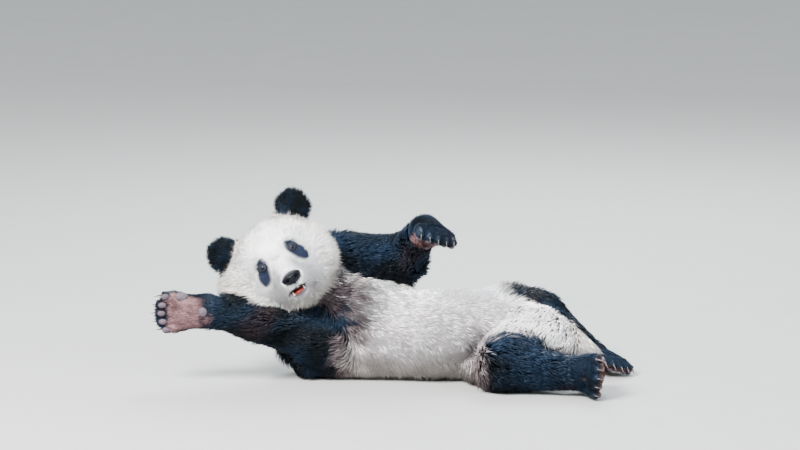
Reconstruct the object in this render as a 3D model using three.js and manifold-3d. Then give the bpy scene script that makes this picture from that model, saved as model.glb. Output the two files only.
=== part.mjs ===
// A young giant panda lying on its right side, belly to the front, head raised on its outstretched
// right foreleg and facing the front. One closed mesh per part of the body, out to the tips of the
// coat, in millimetres, +Z up. The head lies towards -X, the belly faces -Y, and the floor is z = 0.
import * as THREE from "three";
import { mergeVertices } from "three/addons/utils/BufferGeometryUtils.js";
import Module from "manifold-3d";

const wasm = await Module();
wasm.setup();

const GAP = 0.4; // clearance left where one part of the body meets the next
const SLIVER = 0.12; // detail finer than this is left out of a finished part
const at = (x, y, z) => new THREE.Vector3(x, y, z);
const { lerp, clamp } = THREE.MathUtils;

// ---------------------------------------------------------------- driving dimensions

const finish = (color, roughness) => new THREE.MeshStandardMaterial({ color, roughness });
const WHITE_COAT = () => finish(0xe9e4da, 0.85);
const BELLY_COAT = () => finish(0xcfc3b4, 0.85);
const BLACK_COAT = () => finish(0x14161c, 0.7);
const CLAW_HORN = () => finish(0xcfc8bc, 0.3);

// Joints of the lying body.
const JOINTS = {
  shoulderLeft: at(-170, 108, 322),
  elbowLeft: at(8, 82, 326),
  wristLeft: at(60, -48, 424),
  shoulderRight: at(-170, 5, 112),
  elbowRight: at(-380, -52, 180),
  wristRight: at(-542, -85, 208),
  hipLeft: at(302, 98, 150),
  kneeLeft: at(392, 198, 136),
  ankleLeft: at(540, 118, 46),
  hipRight: at(385, 20, 105),
  kneeRight: at(285, -188, 76),
  ankleRight: at(500, -252, 60),
};

// Half-thickness of each stretch of limb, coat included, at its upper and lower end.
const LIMB_RADII = {
  upperArm: [84, 68],
  forearm: [68, 48],
  thigh: [106, 80],
  shin: [80, 48],
};

const HEAD = {
  centre: at(-330, -4, 328),
  forward: at(0.02, -0.988, 0.156), // the way the face looks
  crown: at(-0.588, 0.127, 0.799), // from the chin to the top of the head
  eyeSpread: 49, // each eye's distance from the middle of the face
  eyeHeight: 21,
  eyeRadius: 11,
  eyeShow: 4.5, // how far the eyeball stands out of the socket
  earSpread: 122,
  earHeight: 118,
  earRadius: 57,
  earThickness: 19,
  noseHeight: -45,
  mouthHeight: -86,
};

const PAW = {
  palmLength: 104,
  palmWidth: 104,
  palmThickness: 54,
  toes: 5,
  toeSpacing: 22.5,
  toeRadius: 14.5,
  clawLength: 34,
  clawRadius: 4.8,
  reach: 66, // how far from its own line the paw's part goes before the limb's begins
};

// ---------------------------------------------------------------- solid fields
// A field gives the distance in millimetres from a point to a surface, negative inside it.

/** An egg with half-axes along its frame's axes. */
function egg(centre, radii) {
  const q = at(0, 0, 0);
  const least = Math.min(radii.x, radii.y, radii.z);
  return (p) => {
    q.subVectors(p, centre).divide(radii);
    const near = q.length();
    const slope = q.divide(radii).length();
    return slope > 0 ? (near * (near - 1)) / slope : -least;
  };
}

/** A bone-like stretch from a to b whose radius runs evenly from ra to rb. */
function taper(a, b, ra, rb) {
  const along = at(0, 0, 0).subVectors(b, a);
  const q = at(0, 0, 0);
  return (p) => {
    const t = clamp(q.subVectors(p, a).dot(along) / along.lengthSq(), 0, 1);
    return q.addScaledVector(along, -t).length() - lerp(ra, rb, t);
  };
}

/** Joins fields with a soft fillet about k wide. */
function blend(k, ...fields) {
  const join = (d, e) => Math.min(d, e) - Math.max(k - Math.abs(d - e), 0) ** 2 / (4 * k);
  return (p) => fields.map((f) => f(p)).reduce(join);
}

/** Hollows a field by a tool, with a soft edge about k wide. */
function hollow(k, body, tool) {
  return (p) => {
    const [d, e] = [body(p), -tool(p)];
    return Math.max(d, e) + Math.max(k - Math.abs(d - e), 0) ** 2 / (4 * k);
  };
}

/** What two fields have in common. */
const within = (bounds, field) => (p) => Math.max(bounds(p), field(p));

/** The frame with its origin, its +Y towards forward and its +Z as near to up as that allows. */
function frameOf(origin, forward, up) {
  const y = forward.clone().normalize();
  const x = y.clone().cross(up).normalize();
  const z = x.clone().cross(y);
  return new THREE.Matrix4().makeBasis(x, y, z).setPosition(origin);
}

/** A field described in a frame of its own. */
function placed(frame, field) {
  const inverse = frame.clone().invert();
  const q = at(0, 0, 0);
  return (p) => field(q.copy(p).applyMatrix4(inverse));
}

// ---------------------------------------------------------------- from fields to closed meshes

/** A three.js geometry as positions and faces only, with its seams merged. */
function bare(geometry) {
  geometry.deleteAttribute("normal");
  geometry.deleteAttribute("uv");
  return mergeVertices(geometry, 1e-5);
}

/** A closed geometry as a solid that can be cut. */
function solidOf(geometry) {
  return new wasm.Manifold(
    new wasm.Mesh({
      numProp: 3,
      vertProperties: new Float32Array(geometry.attributes.position.array),
      triVerts: new Uint32Array(geometry.index.array),
    }),
  );
}

/** How far from a seed point, along a direction, the field's surface lies. */
function reachOf(field, seed, direction, limit) {
  const p = at(0, 0, 0);
  const depth = (t) => field(p.copy(seed).addScaledVector(direction, t));
  let [inside, outside] = [0, 0];
  while (outside < limit && depth(outside) < 0) {
    inside = outside;
    outside += Math.max(1, -0.6 * depth(outside));
  }
  for (let i = 0; i < 18; i += 1) {
    const middle = (inside + outside) / 2;
    if (depth(middle) < 0) inside = middle;
    else outside = middle;
  }
  return Math.min(inside, limit);
}

/** Moves every vertex of a unit geometry out from its seed to the field's surface. */
function wrap(geometry, rayOf, field, limit) {
  const vertex = at(0, 0, 0);
  const { position } = geometry.attributes;
  for (let i = 0; i < position.count; i += 1) {
    const { seed, direction } = rayOf(vertex.fromBufferAttribute(position, i));
    vertex.copy(seed).addScaledVector(direction, reachOf(field, seed, direction, limit));
    position.setXYZ(i, vertex.x, vertex.y, vertex.z);
  }
  return solidOf(geometry);
}

/** Wraps a field in a ball of rays from a point inside it. */
function wrapBall(field, centre, detail, limit = 400) {
  const rayOf = (vertex) => ({ seed: centre, direction: vertex.clone().normalize() });
  return wrap(bare(new THREE.IcosahedronGeometry(1, detail)), rayOf, field, limit);
}

/** Wraps a thin disc: rays from its middle, crowded towards the rim of its frame's XZ plane. */
function wrapDisc(field, frame, centre, detail, crowding, limit = 400) {
  const turned = new THREE.Matrix4().extractRotation(frame);
  const rayOf = (vertex) => ({
    seed: centre,
    direction: vertex.clone().setY(vertex.y * crowding).normalize().applyMatrix4(turned),
  });
  return wrap(bare(new THREE.IcosahedronGeometry(1, detail)), rayOf, field, limit);
}

/** Wraps a field in rings of rays that stand out from a line through it. */
function wrapLine(field, points, { around, along, caps, limit = 400 }) {
  const line = new THREE.CatmullRomCurve3(points);
  const rayOf = (vertex) => {
    const share = clamp(vertex.y + 0.5, 0, 1);
    const tangent = line.getTangentAt(share);
    const side = tangent.clone().cross(at(0.05, 0.1, 1)).normalize();
    const third = side.clone().cross(tangent);
    const beyond = vertex.y - clamp(vertex.y, -0.5, 0.5);
    const direction = side
      .multiplyScalar(vertex.x)
      .addScaledVector(tangent, beyond)
      .addScaledVector(third, vertex.z)
      .normalize();
    return { seed: line.getPointAt(share), direction };
  };
  return wrap(bare(new THREE.CapsuleGeometry(1, 1, caps, around, along)), rayOf, field, limit);
}

// ---------------------------------------------------------------- building the body

const panda = new THREE.Group();
const cutters = []; // every part already placed, grown by the gap, to cut the later ones with

/** Adds a solid as a named mesh: above the floor, clear of the parts before it, in one piece. */
function addSolid(group, name, material, solid) {
  const cleared = cutters.reduce((left, cutter) => left.subtract(cutter), solid);
  const pieces = cleared.trimByPlane([0, 0, 1], 0).simplify(SLIVER).decompose();
  const largest = pieces.reduce((a, b) => (b.volume() > a.volume() ? b : a));
  const { vertProperties, triVerts, numProp } = largest.getMesh();
  const geometry = new THREE.BufferGeometry()
    .setAttribute("position", new THREE.BufferAttribute(vertProperties, numProp))
    .setIndex(new THREE.BufferAttribute(triVerts, 1));
  const mesh = new THREE.Mesh(geometry, material);
  mesh.name = name;
  group.add(mesh);
}

/** Adds a part made by wrapping a field, and keeps its room free of later parts. */
function addPart(group, name, material, field, wrapField) {
  addSolid(group, name, material, wrapField(field));
  cutters.push(wrapField((p) => field(p) - GAP));
}

/** A new group inside the panda. */
function bodyGroup() {
  const group = new THREE.Group();
  panda.add(group);
  return group;
}

// ---- the lying trunk as a field, which every limb grows out of

const trunkField = blend(
  60,
  egg(at(-130, 62, 148), at(165, 165, 158)), // chest
  egg(at(-240, 30, 92), at(118, 118, 96)), // shoulder it lies on
  egg(at(80, 44, 124), at(238, 174, 127)), // belly
  egg(at(300, 58, 116), at(165, 150, 120)), // hips
  egg(at(440, 62, 96), at(90, 108, 86)), // rump
);
const flankFur = egg(at(222, -112, 38), at(58, 82, 42)); // loose fur spread on the floor

// ---- limbs

const J = JOINTS;

/** How far out a toe stands, so that their tips lie on an arc. */
const toeReach = (side) => PAW.palmLength + 16 - 0.005 * side * side;
const toeSide = (i) => (i - (PAW.toes - 1) / 2) * PAW.toeSpacing;

/** A paw: heel, palm and five toes in an arc, toes along +Y, back of the paw up. */
function pawField(scale, heel) {
  const toe = (side) =>
    taper(
      at(side * 0.86, toeReach(side) - 40, 1),
      at(side, toeReach(side), -7),
      PAW.toeRadius + 4,
      PAW.toeRadius,
    );
  const palm = egg(
    at(0, PAW.palmLength * 0.52, -2),
    at(PAW.palmWidth / 2, PAW.palmLength * 0.52, PAW.palmThickness / 2),
  );
  const wrist = taper(at(0, -20, 0), at(0, 44, 0), heel, heel * 0.62);
  const toes = Array.from({ length: PAW.toes }, (_, i) => toe(toeSide(i)));
  const whole = blend(14, blend(30, palm, wrist), blend(5, ...toes));
  const q = at(0, 0, 0);
  return (p) => scale * whole(q.copy(p).divideScalar(scale));
}

/** A claw: a cone bent down towards its tip, its root sunk in a toe. */
function clawSolid(frame, side, scale, grow) {
  const { clawRadius, clawLength } = PAW;
  const cone = bare(new THREE.ConeGeometry(clawRadius + grow, clawLength + grow, 5, 2));
  const { position } = cone.attributes;
  const vertex = at(0, 0, 0);
  for (let i = 0; i < position.count; i += 1) {
    vertex.fromBufferAttribute(position, i);
    const out = vertex.y + clawLength / 2;
    vertex.set(vertex.x * 0.75 + side, toeReach(side) + out, vertex.z * 1.15 - 0.012 * out * out);
    vertex.multiplyScalar(scale).applyMatrix4(frame);
    position.setXYZ(i, vertex.x, vertex.y, vertex.z);
  }
  return solidOf(cone);
}

/** Adds a paw and its five claws. */
function addPaw(group, name, { origin, toes, back, scale, heel }, limbField) {
  const frame = frameOf(origin, toes, back);
  const [from, middle, to] = [26, 58, 100].map((y) => at(0, y * scale, 0).applyMatrix4(frame));
  const bounds = taper(from, to, PAW.reach * scale, PAW.reach * scale);
  const field = within(bounds, blend(20, placed(frame, pawField(scale, heel)), limbField));
  addPart(group, name, BLACK_COAT(), field, (f) => wrapBall(f, middle, 4));
  for (let i = 0; i < PAW.toes; i += 1) {
    const claw = clawSolid(frame, toeSide(i), scale, 0);
    addSolid(group, `${name}_claw_${i + 1}`, CLAW_HORN(), claw);
    cutters.push(clawSolid(frame, toeSide(i), scale, GAP));
  }
}

/** Adds one stretch of a limb: what the whole field holds within reach of its line. */
function addStretch(group, name, whole, from, to, radii, reach) {
  const bounds = taper(from, to, radii[0] * reach, radii[1] * reach);
  const line = [from, at(0, 0, 0).lerpVectors(from, to, 0.5), to];
  addPart(group, name, BLACK_COAT(), within(bounds, whole), (f) =>
    wrapLine(f, line, { around: 10, along: 4, caps: 2 }),
  );
}

/** A limb: paw and claws, lower stretch, upper stretch, each running softly into the next. */
function addLimb(side, names, [root, bend, end], [upperRadii, lowerRadii], paw) {
  const group = bodyGroup();
  const limb = blend(
    36,
    taper(root, bend, ...upperRadii),
    taper(bend, end, ...lowerRadii),
  );
  const rooted = blend(50, limb, trunkField);
  addPaw(group, `${names[2]}_${side}`, paw, limb);
  addStretch(group, `${names[1]}_${side}`, rooted, bend, end, lowerRadii, 1.12);
  addStretch(group, `${names[0]}_${side}`, rooted, root, bend, upperRadii, 1.16);
}

const FORELEG = ["upper_arm", "forearm", "forepaw"];
const HINDLEG = ["thigh", "shin", "hind_paw"];
const ARM_RADII = [LIMB_RADII.upperArm, LIMB_RADII.forearm];
const LEG_RADII = [LIMB_RADII.thigh, LIMB_RADII.shin];

addLimb("right", HINDLEG, [J.hipRight, J.kneeRight, J.ankleRight], LEG_RADII, {
  origin: at(522, -205, 63),
  toes: at(0.08, -1, 0.03),
  back: at(-1, -0.08, 0.1),
  scale: 1.1,
  heel: 46,
});
addLimb("left", HINDLEG, [J.hipLeft, J.kneeLeft, J.ankleLeft], LEG_RADII, {
  origin: at(552, 112, 40),
  toes: at(0.55, -0.88, -0.02),
  back: at(0.3, 0.05, 1),
  scale: 1.06,
  heel: 38,
});
addLimb("right", FORELEG, [J.shoulderRight, J.elbowRight, J.wristRight], ARM_RADII, {
  origin: J.wristRight,
  toes: at(-1, -0.02, -0.02),
  back: at(0, 1, 0.1),
  scale: 1.08,
  heel: 42,
});
addLimb("left", FORELEG, [J.shoulderLeft, J.elbowLeft, J.wristLeft], ARM_RADII, {
  origin: at(78, -44, 432),
  toes: at(0.22, -1, -0.02),
  back: at(0.34, -0.1, 1),
  scale: 1.08,
  heel: 38,
});

// ---- head

const headFrame = frameOf(HEAD.centre, HEAD.forward, HEAD.crown);
const inHead = (x, y, z) => at(x, y, z).applyMatrix4(headFrame);
const pair = (make) => [make(1), make(-1)];

const sockets = pair((s) => egg(at(s * HEAD.eyeSpread, 122, HEAD.eyeHeight), at(24, 24, 17)));
const headField = placed(
  headFrame,
  hollow(
    14,
    blend(
      34,
      egg(at(0, -14, 12), at(136, 126, 122)), // braincase
      egg(at(0, 42, 50), at(96, 66, 62)), // forehead
      egg(at(80, 12, -44), at(68, 84, 76)), // right cheek
      egg(at(-74, 12, -44), at(62, 84, 74)), // left cheek
      egg(at(116, -30, 20), at(72, 70, 64)), // ruff pushed up by the foreleg under it
      egg(at(0, 18, -72), at(98, 84, 64)), // throat ruff
      egg(at(0, 96, -56), at(50, 76, 40)), // muzzle
      taper(at(0, 60, 4), at(0, 140, -40), 44, 24), // bridge of the nose
      egg(at(0, 90, -96), at(38, 56, 28)), // lower jaw
    ),
    (p) => Math.min(...sockets.map((socket) => socket(p))),
  ),
);

/** How far forward of the head's own centre plane its surface lies at a spot on the face. */
const faceAt = (x, z) =>
  reachOf(headField, inHead(x, 40, z), HEAD.forward.clone().normalize(), 300) + 40;

const headGroup = bodyGroup();
const neckGroup = bodyGroup();
const trunkGroup = bodyGroup();

for (const [side, s] of [["right", 1], ["left", -1]]) {
  const outward = inHead(s, 0, 0.94).sub(HEAD.centre);
  const facing = inHead(s * 0.25, 1, 0.05).sub(HEAD.centre);
  const earFrame = frameOf(inHead(s * HEAD.earSpread, -18, HEAD.earHeight), facing, outward);
  const cup = egg(at(0, 26, 4), at(33, 18, 33));
  const shell = egg(at(0, 0, -6), at(HEAD.earRadius, HEAD.earThickness, HEAD.earRadius));
  const earField = placed(earFrame, hollow(14, shell, cup));
  addPart(headGroup, `ear_${side}`, BLACK_COAT(), earField, (f) =>
    wrapDisc(f, earFrame, at(0, -4, -6).applyMatrix4(earFrame), 3, 0.4),
  );
}

for (const [side, s] of [["right", 1], ["left", -1]]) {
  const { eyeSpread, eyeHeight, eyeRadius, eyeShow } = HEAD;
  const depth = faceAt(s * eyeSpread, eyeHeight) - eyeRadius + eyeShow;
  const centre = inHead(s * eyeSpread, depth, eyeHeight);
  const ball = egg(centre, at(1, 1, 1).multiplyScalar(eyeRadius));
  addPart(headGroup, `eye_${side}`, finish(0x120c08, 0.08), ball, (f) => wrapBall(f, centre, 1));
}

const noseDepth = faceAt(0, HEAD.noseHeight);
const nostrils = pair((s) => egg(at(s * 13, noseDepth + 9, HEAD.noseHeight - 5), at(7, 9, 4.5)));
const noseField = placed(
  headFrame,
  hollow(
    4,
    blend(
      8,
      egg(at(0, noseDepth - 4, HEAD.noseHeight), at(29, 13, 15)),
      egg(at(0, noseDepth - 8, HEAD.noseHeight - 16), at(9, 9, 12)),
    ),
    (p) => Math.min(...nostrils.map((nostril) => nostril(p))),
  ),
);
addPart(headGroup, "nose", finish(0x15141a, 0.35), noseField, (f) =>
  wrapBall(f, inHead(0, noseDepth - 6, HEAD.noseHeight), 3),
);

// The mouth stands a little open: a hollow in the head with the tongue lying in it.
const mouthDepth = faceAt(3, HEAD.mouthHeight);
const mouthField = placed(
  headFrame,
  egg(at(4, mouthDepth - 10, HEAD.mouthHeight), at(24, 24, 7)),
);
const mouthSolid = wrapBall(mouthField, inHead(4, mouthDepth - 10, HEAD.mouthHeight), 1);
const tongueField = placed(
  headFrame,
  egg(at(4, mouthDepth - 16, HEAD.mouthHeight - 4), at(20, 18, 6)),
);
addPart(headGroup, "tongue", finish(0xb0483f, 0.4), tongueField, (f) =>
  wrapBall(f, inHead(4, mouthDepth - 16, HEAD.mouthHeight - 4), 1),
);

// ---- neck, head, trunk and tail

const neckRadii = [124, 112];
const neckLine = [at(-185, 85, 190), at(-222, 72, 224), at(-258, 60, 258)];
const neckField = taper(neckLine[0], neckLine[2], ...neckRadii);
const shoulders = blend(60, neckField, trunkField);
const neckBounds = taper(neckLine[0], neckLine[2], 132, 116);
addPart(neckGroup, "neck", WHITE_COAT(), within(neckBounds, shoulders), (f) =>
  wrapLine(f, neckLine, { around: 12, along: 2, caps: 2 }),
);

const headBall = (f) => wrapBall(f, inHead(4, 40, -14), 6);
addSolid(headGroup, "head", WHITE_COAT(), headBall(headField).subtract(mouthSolid));
cutters.push(headBall((p) => headField(p) - GAP));

const tailLine = [at(486, 48, 92), at(505, 37, 87), at(522, 27, 82)];
const tailField = blend(
  30,
  taper(tailLine[0], tailLine[2], 48, 27),
  egg(at(508, 31, 83), at(44, 37, 35)),
);
addPart(trunkGroup, "tail", WHITE_COAT(), tailField, (f) =>
  wrapLine(f, tailLine, { around: 10, along: 2, caps: 2 }),
);

const spine = [at(-140, 65, 150), at(80, 45, 120), at(290, 45, 108), at(436, 65, 98)];
addPart(trunkGroup, "trunk", BELLY_COAT(), blend(24, trunkField, flankFur), (f) =>
  wrapLine(f, spine, { around: 16, along: 11, caps: 3 }),
);

// ---- the part's origin: the middle of its footprint, on the floor

const box = new THREE.Box3().setFromObject(panda);
const middle = box.getCenter(at(0, 0, 0));
panda.position.set(-middle.x, -middle.y, -box.min.z);

export default panda;
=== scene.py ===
"""A young giant panda lying on its back and side, as a life-size museum model.

One skin stands for all the parts of flesh, and a coat of solid tufts grows out of it to the
body's outline. Eyes, nose, tongue, teeth, claws and pads are pieces of their own.
"""

from __future__ import annotations

import logging
import math
from collections.abc import Callable, Iterable, Sequence
from dataclasses import dataclass, field
from enum import Enum

import bmesh
import bpy
import numpy as np
from mathutils import Matrix, Vector
from mathutils.bvhtree import BVHTree


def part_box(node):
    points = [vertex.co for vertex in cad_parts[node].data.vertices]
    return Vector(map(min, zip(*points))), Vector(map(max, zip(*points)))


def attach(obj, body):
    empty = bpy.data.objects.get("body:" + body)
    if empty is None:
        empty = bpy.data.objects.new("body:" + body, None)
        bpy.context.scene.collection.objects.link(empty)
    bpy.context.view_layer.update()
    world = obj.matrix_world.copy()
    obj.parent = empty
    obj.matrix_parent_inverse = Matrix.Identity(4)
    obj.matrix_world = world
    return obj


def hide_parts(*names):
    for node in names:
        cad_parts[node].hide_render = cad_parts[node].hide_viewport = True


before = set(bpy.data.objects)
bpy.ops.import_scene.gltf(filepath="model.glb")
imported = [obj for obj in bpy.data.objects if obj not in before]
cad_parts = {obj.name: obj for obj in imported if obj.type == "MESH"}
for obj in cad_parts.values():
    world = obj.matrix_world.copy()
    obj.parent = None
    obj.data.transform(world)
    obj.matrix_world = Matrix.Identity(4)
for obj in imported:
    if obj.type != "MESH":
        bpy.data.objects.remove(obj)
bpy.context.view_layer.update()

logging.basicConfig(level=logging.INFO, format="%(message)s")
LOG = logging.getLogger("panda")

MM = 0.001  # one millimetre in metres
SEED = 20260
COAT_TINT = "coat_tint"  # the attribute that holds the colour of skin, coat and eyes
BAKE_MAP = "OFBake"
CAMERA_AIM = (0.0, 0.0, 436.6)  # in the drawn pose's millimetres
Z_TO_Y = Matrix.Rotation(-math.pi / 2, 3, "X")
FAR = 1e3  # farther than any place on the model, in millimetres

Array = np.ndarray
Point = tuple[float, float, float]
Colour = tuple[float, float, float]
Border = tuple[tuple[float, ...], tuple[float, ...]]  # places along it, and its level at each


# ------------------------------------------------------------------------------ small helpers


def unit(vectors: Array) -> Array:
    """Returns vectors scaled to length one, row by row."""
    return vectors / np.maximum(np.linalg.norm(vectors, axis=-1, keepdims=True), 1e-12)


def ramp(values: Array, low: float, high: float) -> Array:
    """Returns a soft step from 0 at low to 1 at high; low may be the larger one."""
    t = np.clip((np.asarray(values, float) - low) / (high - low), 0.0, 1.0)
    return t * t * (3.0 - 2.0 * t)


def mix(first: Array | Colour, second: Array | Colour, share: Array) -> Array:
    """Returns rows that run from first to second by their share."""
    share = np.asarray(share, float)[..., None]
    return np.asarray(first, float) * (1.0 - share) + np.asarray(second, float) * share


def waves(points: Array, size: float, seed: int, count: int = 14) -> Array:
    """Soft noise made of plane waves.

    Args:
        points: Places, one per row.
        size: Width of a typical lump, in the unit of the places.
        seed: Picks the waves.
        count: How many waves are added.

    Returns:
        One value per place, mostly between -1 and 1.
    """
    rng = np.random.default_rng(SEED + seed)
    directions = unit(rng.normal(size=(count, 3)))
    rates = (2.0 * math.pi / (2.2 * size)) * rng.uniform(0.6, 1.7, count)
    phases = rng.uniform(0.0, 2.0 * math.pi, count)
    return np.sin((points @ directions.T) * rates + phases).sum(1) / math.sqrt(count)


def lots(cells: Array, seed: int) -> Array:
    """Returns three even random numbers from 0 to 1 for each whole-numbered cell."""
    mixed = cells.astype(np.int64) @ np.array([73856093, 19349663, 83492791]) + seed * 7919
    state = (mixed * 2654435761) & 0xFFFFFFFF
    out = []
    for shift in (3, 11, 17):
        state = (state ^ (state >> shift)) * 2246822519 & 0xFFFFFFFF
        out.append(state / 4294967296.0)
    return np.stack(out, 1)


# ------------------------------------------------------------------------------ places


@dataclass(frozen=True)
class LocalFrame:
    """A right-handed frame on the body: +Y forward, +Z up, in millimetres.

    Attributes:
        origin: Its origin in the model's frame, in metres.
        axes: Its x, y and z axes as rows.
        scale: How much larger than life its millimetres are.
    """

    origin: Array
    axes: Array
    scale: float = 1.0

    @classmethod
    def facing(cls, origin: Array, forward: Sequence[float], up: Sequence[float],
               scale: float = 1.0) -> LocalFrame:
        """Builds the frame from its forward direction and roughly its up direction.

        Args:
            origin: Its origin in metres.
            forward: The direction of its +Y.
            up: Roughly the direction of its +Z.
            scale: How much larger than life its millimetres are.

        Returns:
            The frame.
        """
        y = unit(np.asarray(forward, float))
        x = unit(np.cross(y, np.asarray(up, float)))
        return cls(np.asarray(origin, float), np.array([x, y, np.cross(x, y)]), scale)

    def inward(self, points: Array) -> Array:
        """Returns points of the model, in metres, in this frame's millimetres."""
        return (points - self.origin) @ self.axes.T / (MM * self.scale)

    def outward(self, points: Array | Sequence) -> Array:
        """Returns points of this frame, in millimetres, in the model's metres."""
        return np.asarray(points, float) @ self.axes * (MM * self.scale) + self.origin

    def turned(self, directions: Array | Sequence) -> Array:
        """Returns directions of this frame as directions of the model."""
        return np.asarray(directions, float) @ self.axes

    def matrix(self) -> Matrix:
        """Returns the matrix that takes this frame's millimetres to the model's metres."""
        m = np.eye(4)
        m[:3, :3] = self.axes.T * (MM * self.scale)
        m[:3, 3] = self.origin
        return Matrix(m)


class Part(Enum):
    """The parts of the body that the coat tells apart."""

    TRUNK = 0
    NECK = 1
    HEAD = 2
    EAR_LEFT = 3
    EAR_RIGHT = 4
    TAIL = 5
    UPPER_ARM_LEFT = 6
    FOREARM_LEFT = 7
    FOREPAW_LEFT = 8
    UPPER_ARM_RIGHT = 9
    FOREARM_RIGHT = 10
    FOREPAW_RIGHT = 11
    THIGH_LEFT = 12
    SHIN_LEFT = 13
    HIND_PAW_LEFT = 14
    THIGH_RIGHT = 15
    SHIN_RIGHT = 16
    HIND_PAW_RIGHT = 17

    @property
    def node(self) -> str:
        """The name of this part's solid."""
        return self.name.lower()


ARM_LEFT = (Part.UPPER_ARM_LEFT, Part.FOREARM_LEFT)
ARM_RIGHT = (Part.UPPER_ARM_RIGHT, Part.FOREARM_RIGHT)
LEG_LEFT = (Part.THIGH_LEFT, Part.SHIN_LEFT)
LEG_RIGHT = (Part.THIGH_RIGHT, Part.SHIN_RIGHT)
FOREPAWS = (Part.FOREPAW_LEFT, Part.FOREPAW_RIGHT)
HIND_PAWS = (Part.HIND_PAW_LEFT, Part.HIND_PAW_RIGHT)
PAWS = (*FOREPAWS, *HIND_PAWS)
EARS = (Part.EAR_LEFT, Part.EAR_RIGHT)


def numbers(*parts: Part) -> list[int]:
    """Returns the numbers of parts."""
    return [part.value for part in parts]


@dataclass(frozen=True)
class PawPlace:
    """Where a paw is: its root, which way its toes and its back point, and its scale."""

    part: Part
    origin: Point
    toes: Point
    back: Point
    scale: float


@dataclass(frozen=True)
class PawShape:
    """The toes and pads of a paw, in the millimetres of its frame.

    Attributes:
        toes: How many toes it has.
        toe_spacing: How far apart they are.
        palm_length: How long the palm is.
        toe_line: Where a toe's line starts behind its tip, and how far it sinks.
        radii: A bare toe's radius at its root and its tip.
        web: How softly toes run into each other.
    """

    toes: int = 5
    toe_spacing: float = 22.5
    palm_length: float = 104.0
    toe_line: tuple[float, float] = (40.0, 7.0)
    radii: tuple[float, float] = (14.5, 10.8)
    web: float = 2.5

    def side(self, toe: int) -> float:
        """Returns a toe's distance from the paw's middle line."""
        return (toe - (self.toes - 1) / 2.0) * self.toe_spacing

    def reach(self, side: float) -> float:
        """Returns how far out the line of a toe ends."""
        return self.palm_length + 16.0 - 0.005 * side * side

    @staticmethod
    def around_toes(q: Array, start: float) -> Array:
        """Tells which places lie around the toes, from a distance along the paw on."""
        beside = (np.abs(q[:, 0]) < 75.0) & (np.abs(q[:, 2]) < 60.0)
        return beside & (q[:, 1] > start) & (q[:, 1] < 170.0)

    def gap(self, q: Array) -> Array:
        """Returns how far places of the paw's frame are from the bare toes, negative inside."""
        gap = np.full(len(q), FAR)
        for toe in range(self.toes):
            side = self.side(toe)
            start = np.array([side * 0.86, self.reach(side) - self.toe_line[0], 1.0])
            along = np.array([side, self.reach(side), -self.toe_line[1]]) - start
            t = np.clip((q - start) @ along / (along @ along), 0.0, 1.0)
            other = np.linalg.norm(q - start - t[:, None] * along, axis=1)
            other -= self.radii[0] * (1.0 - t) + self.radii[1] * t
            fillet = np.maximum(self.web - np.abs(gap - other), 0.0) ** 2 / (4.0 * self.web)
            gap = np.minimum(gap, other) - fillet
        return gap

    def pads(self, fore: bool) -> list[tuple[float, float, float, float, float]]:
        """Returns each pad's place across and along the paw, and its half sizes.

        Args:
            fore: Whether it is a forepaw.

        Returns:
            Across, along, half width, half length and half height of each pad.
        """
        spots = []
        for toe in range(self.toes):
            side = self.side(toe)
            spots.append((side * 0.98, self.reach(side) - 7.0, 7.8, 10.5, 5.0))
        if fore:
            return spots + [(-43.0, 60.0, 11.5, 17.0, 7.0), (-7.0, 6.0, 13.0, 12.0, 7.0)]
        row = (-28.0, -10.0, 10.0, 28.0)
        return spots + [(x, 78.0 - 0.012 * x * x, 11.0, 9.0, 4.0) for x in row]


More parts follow.
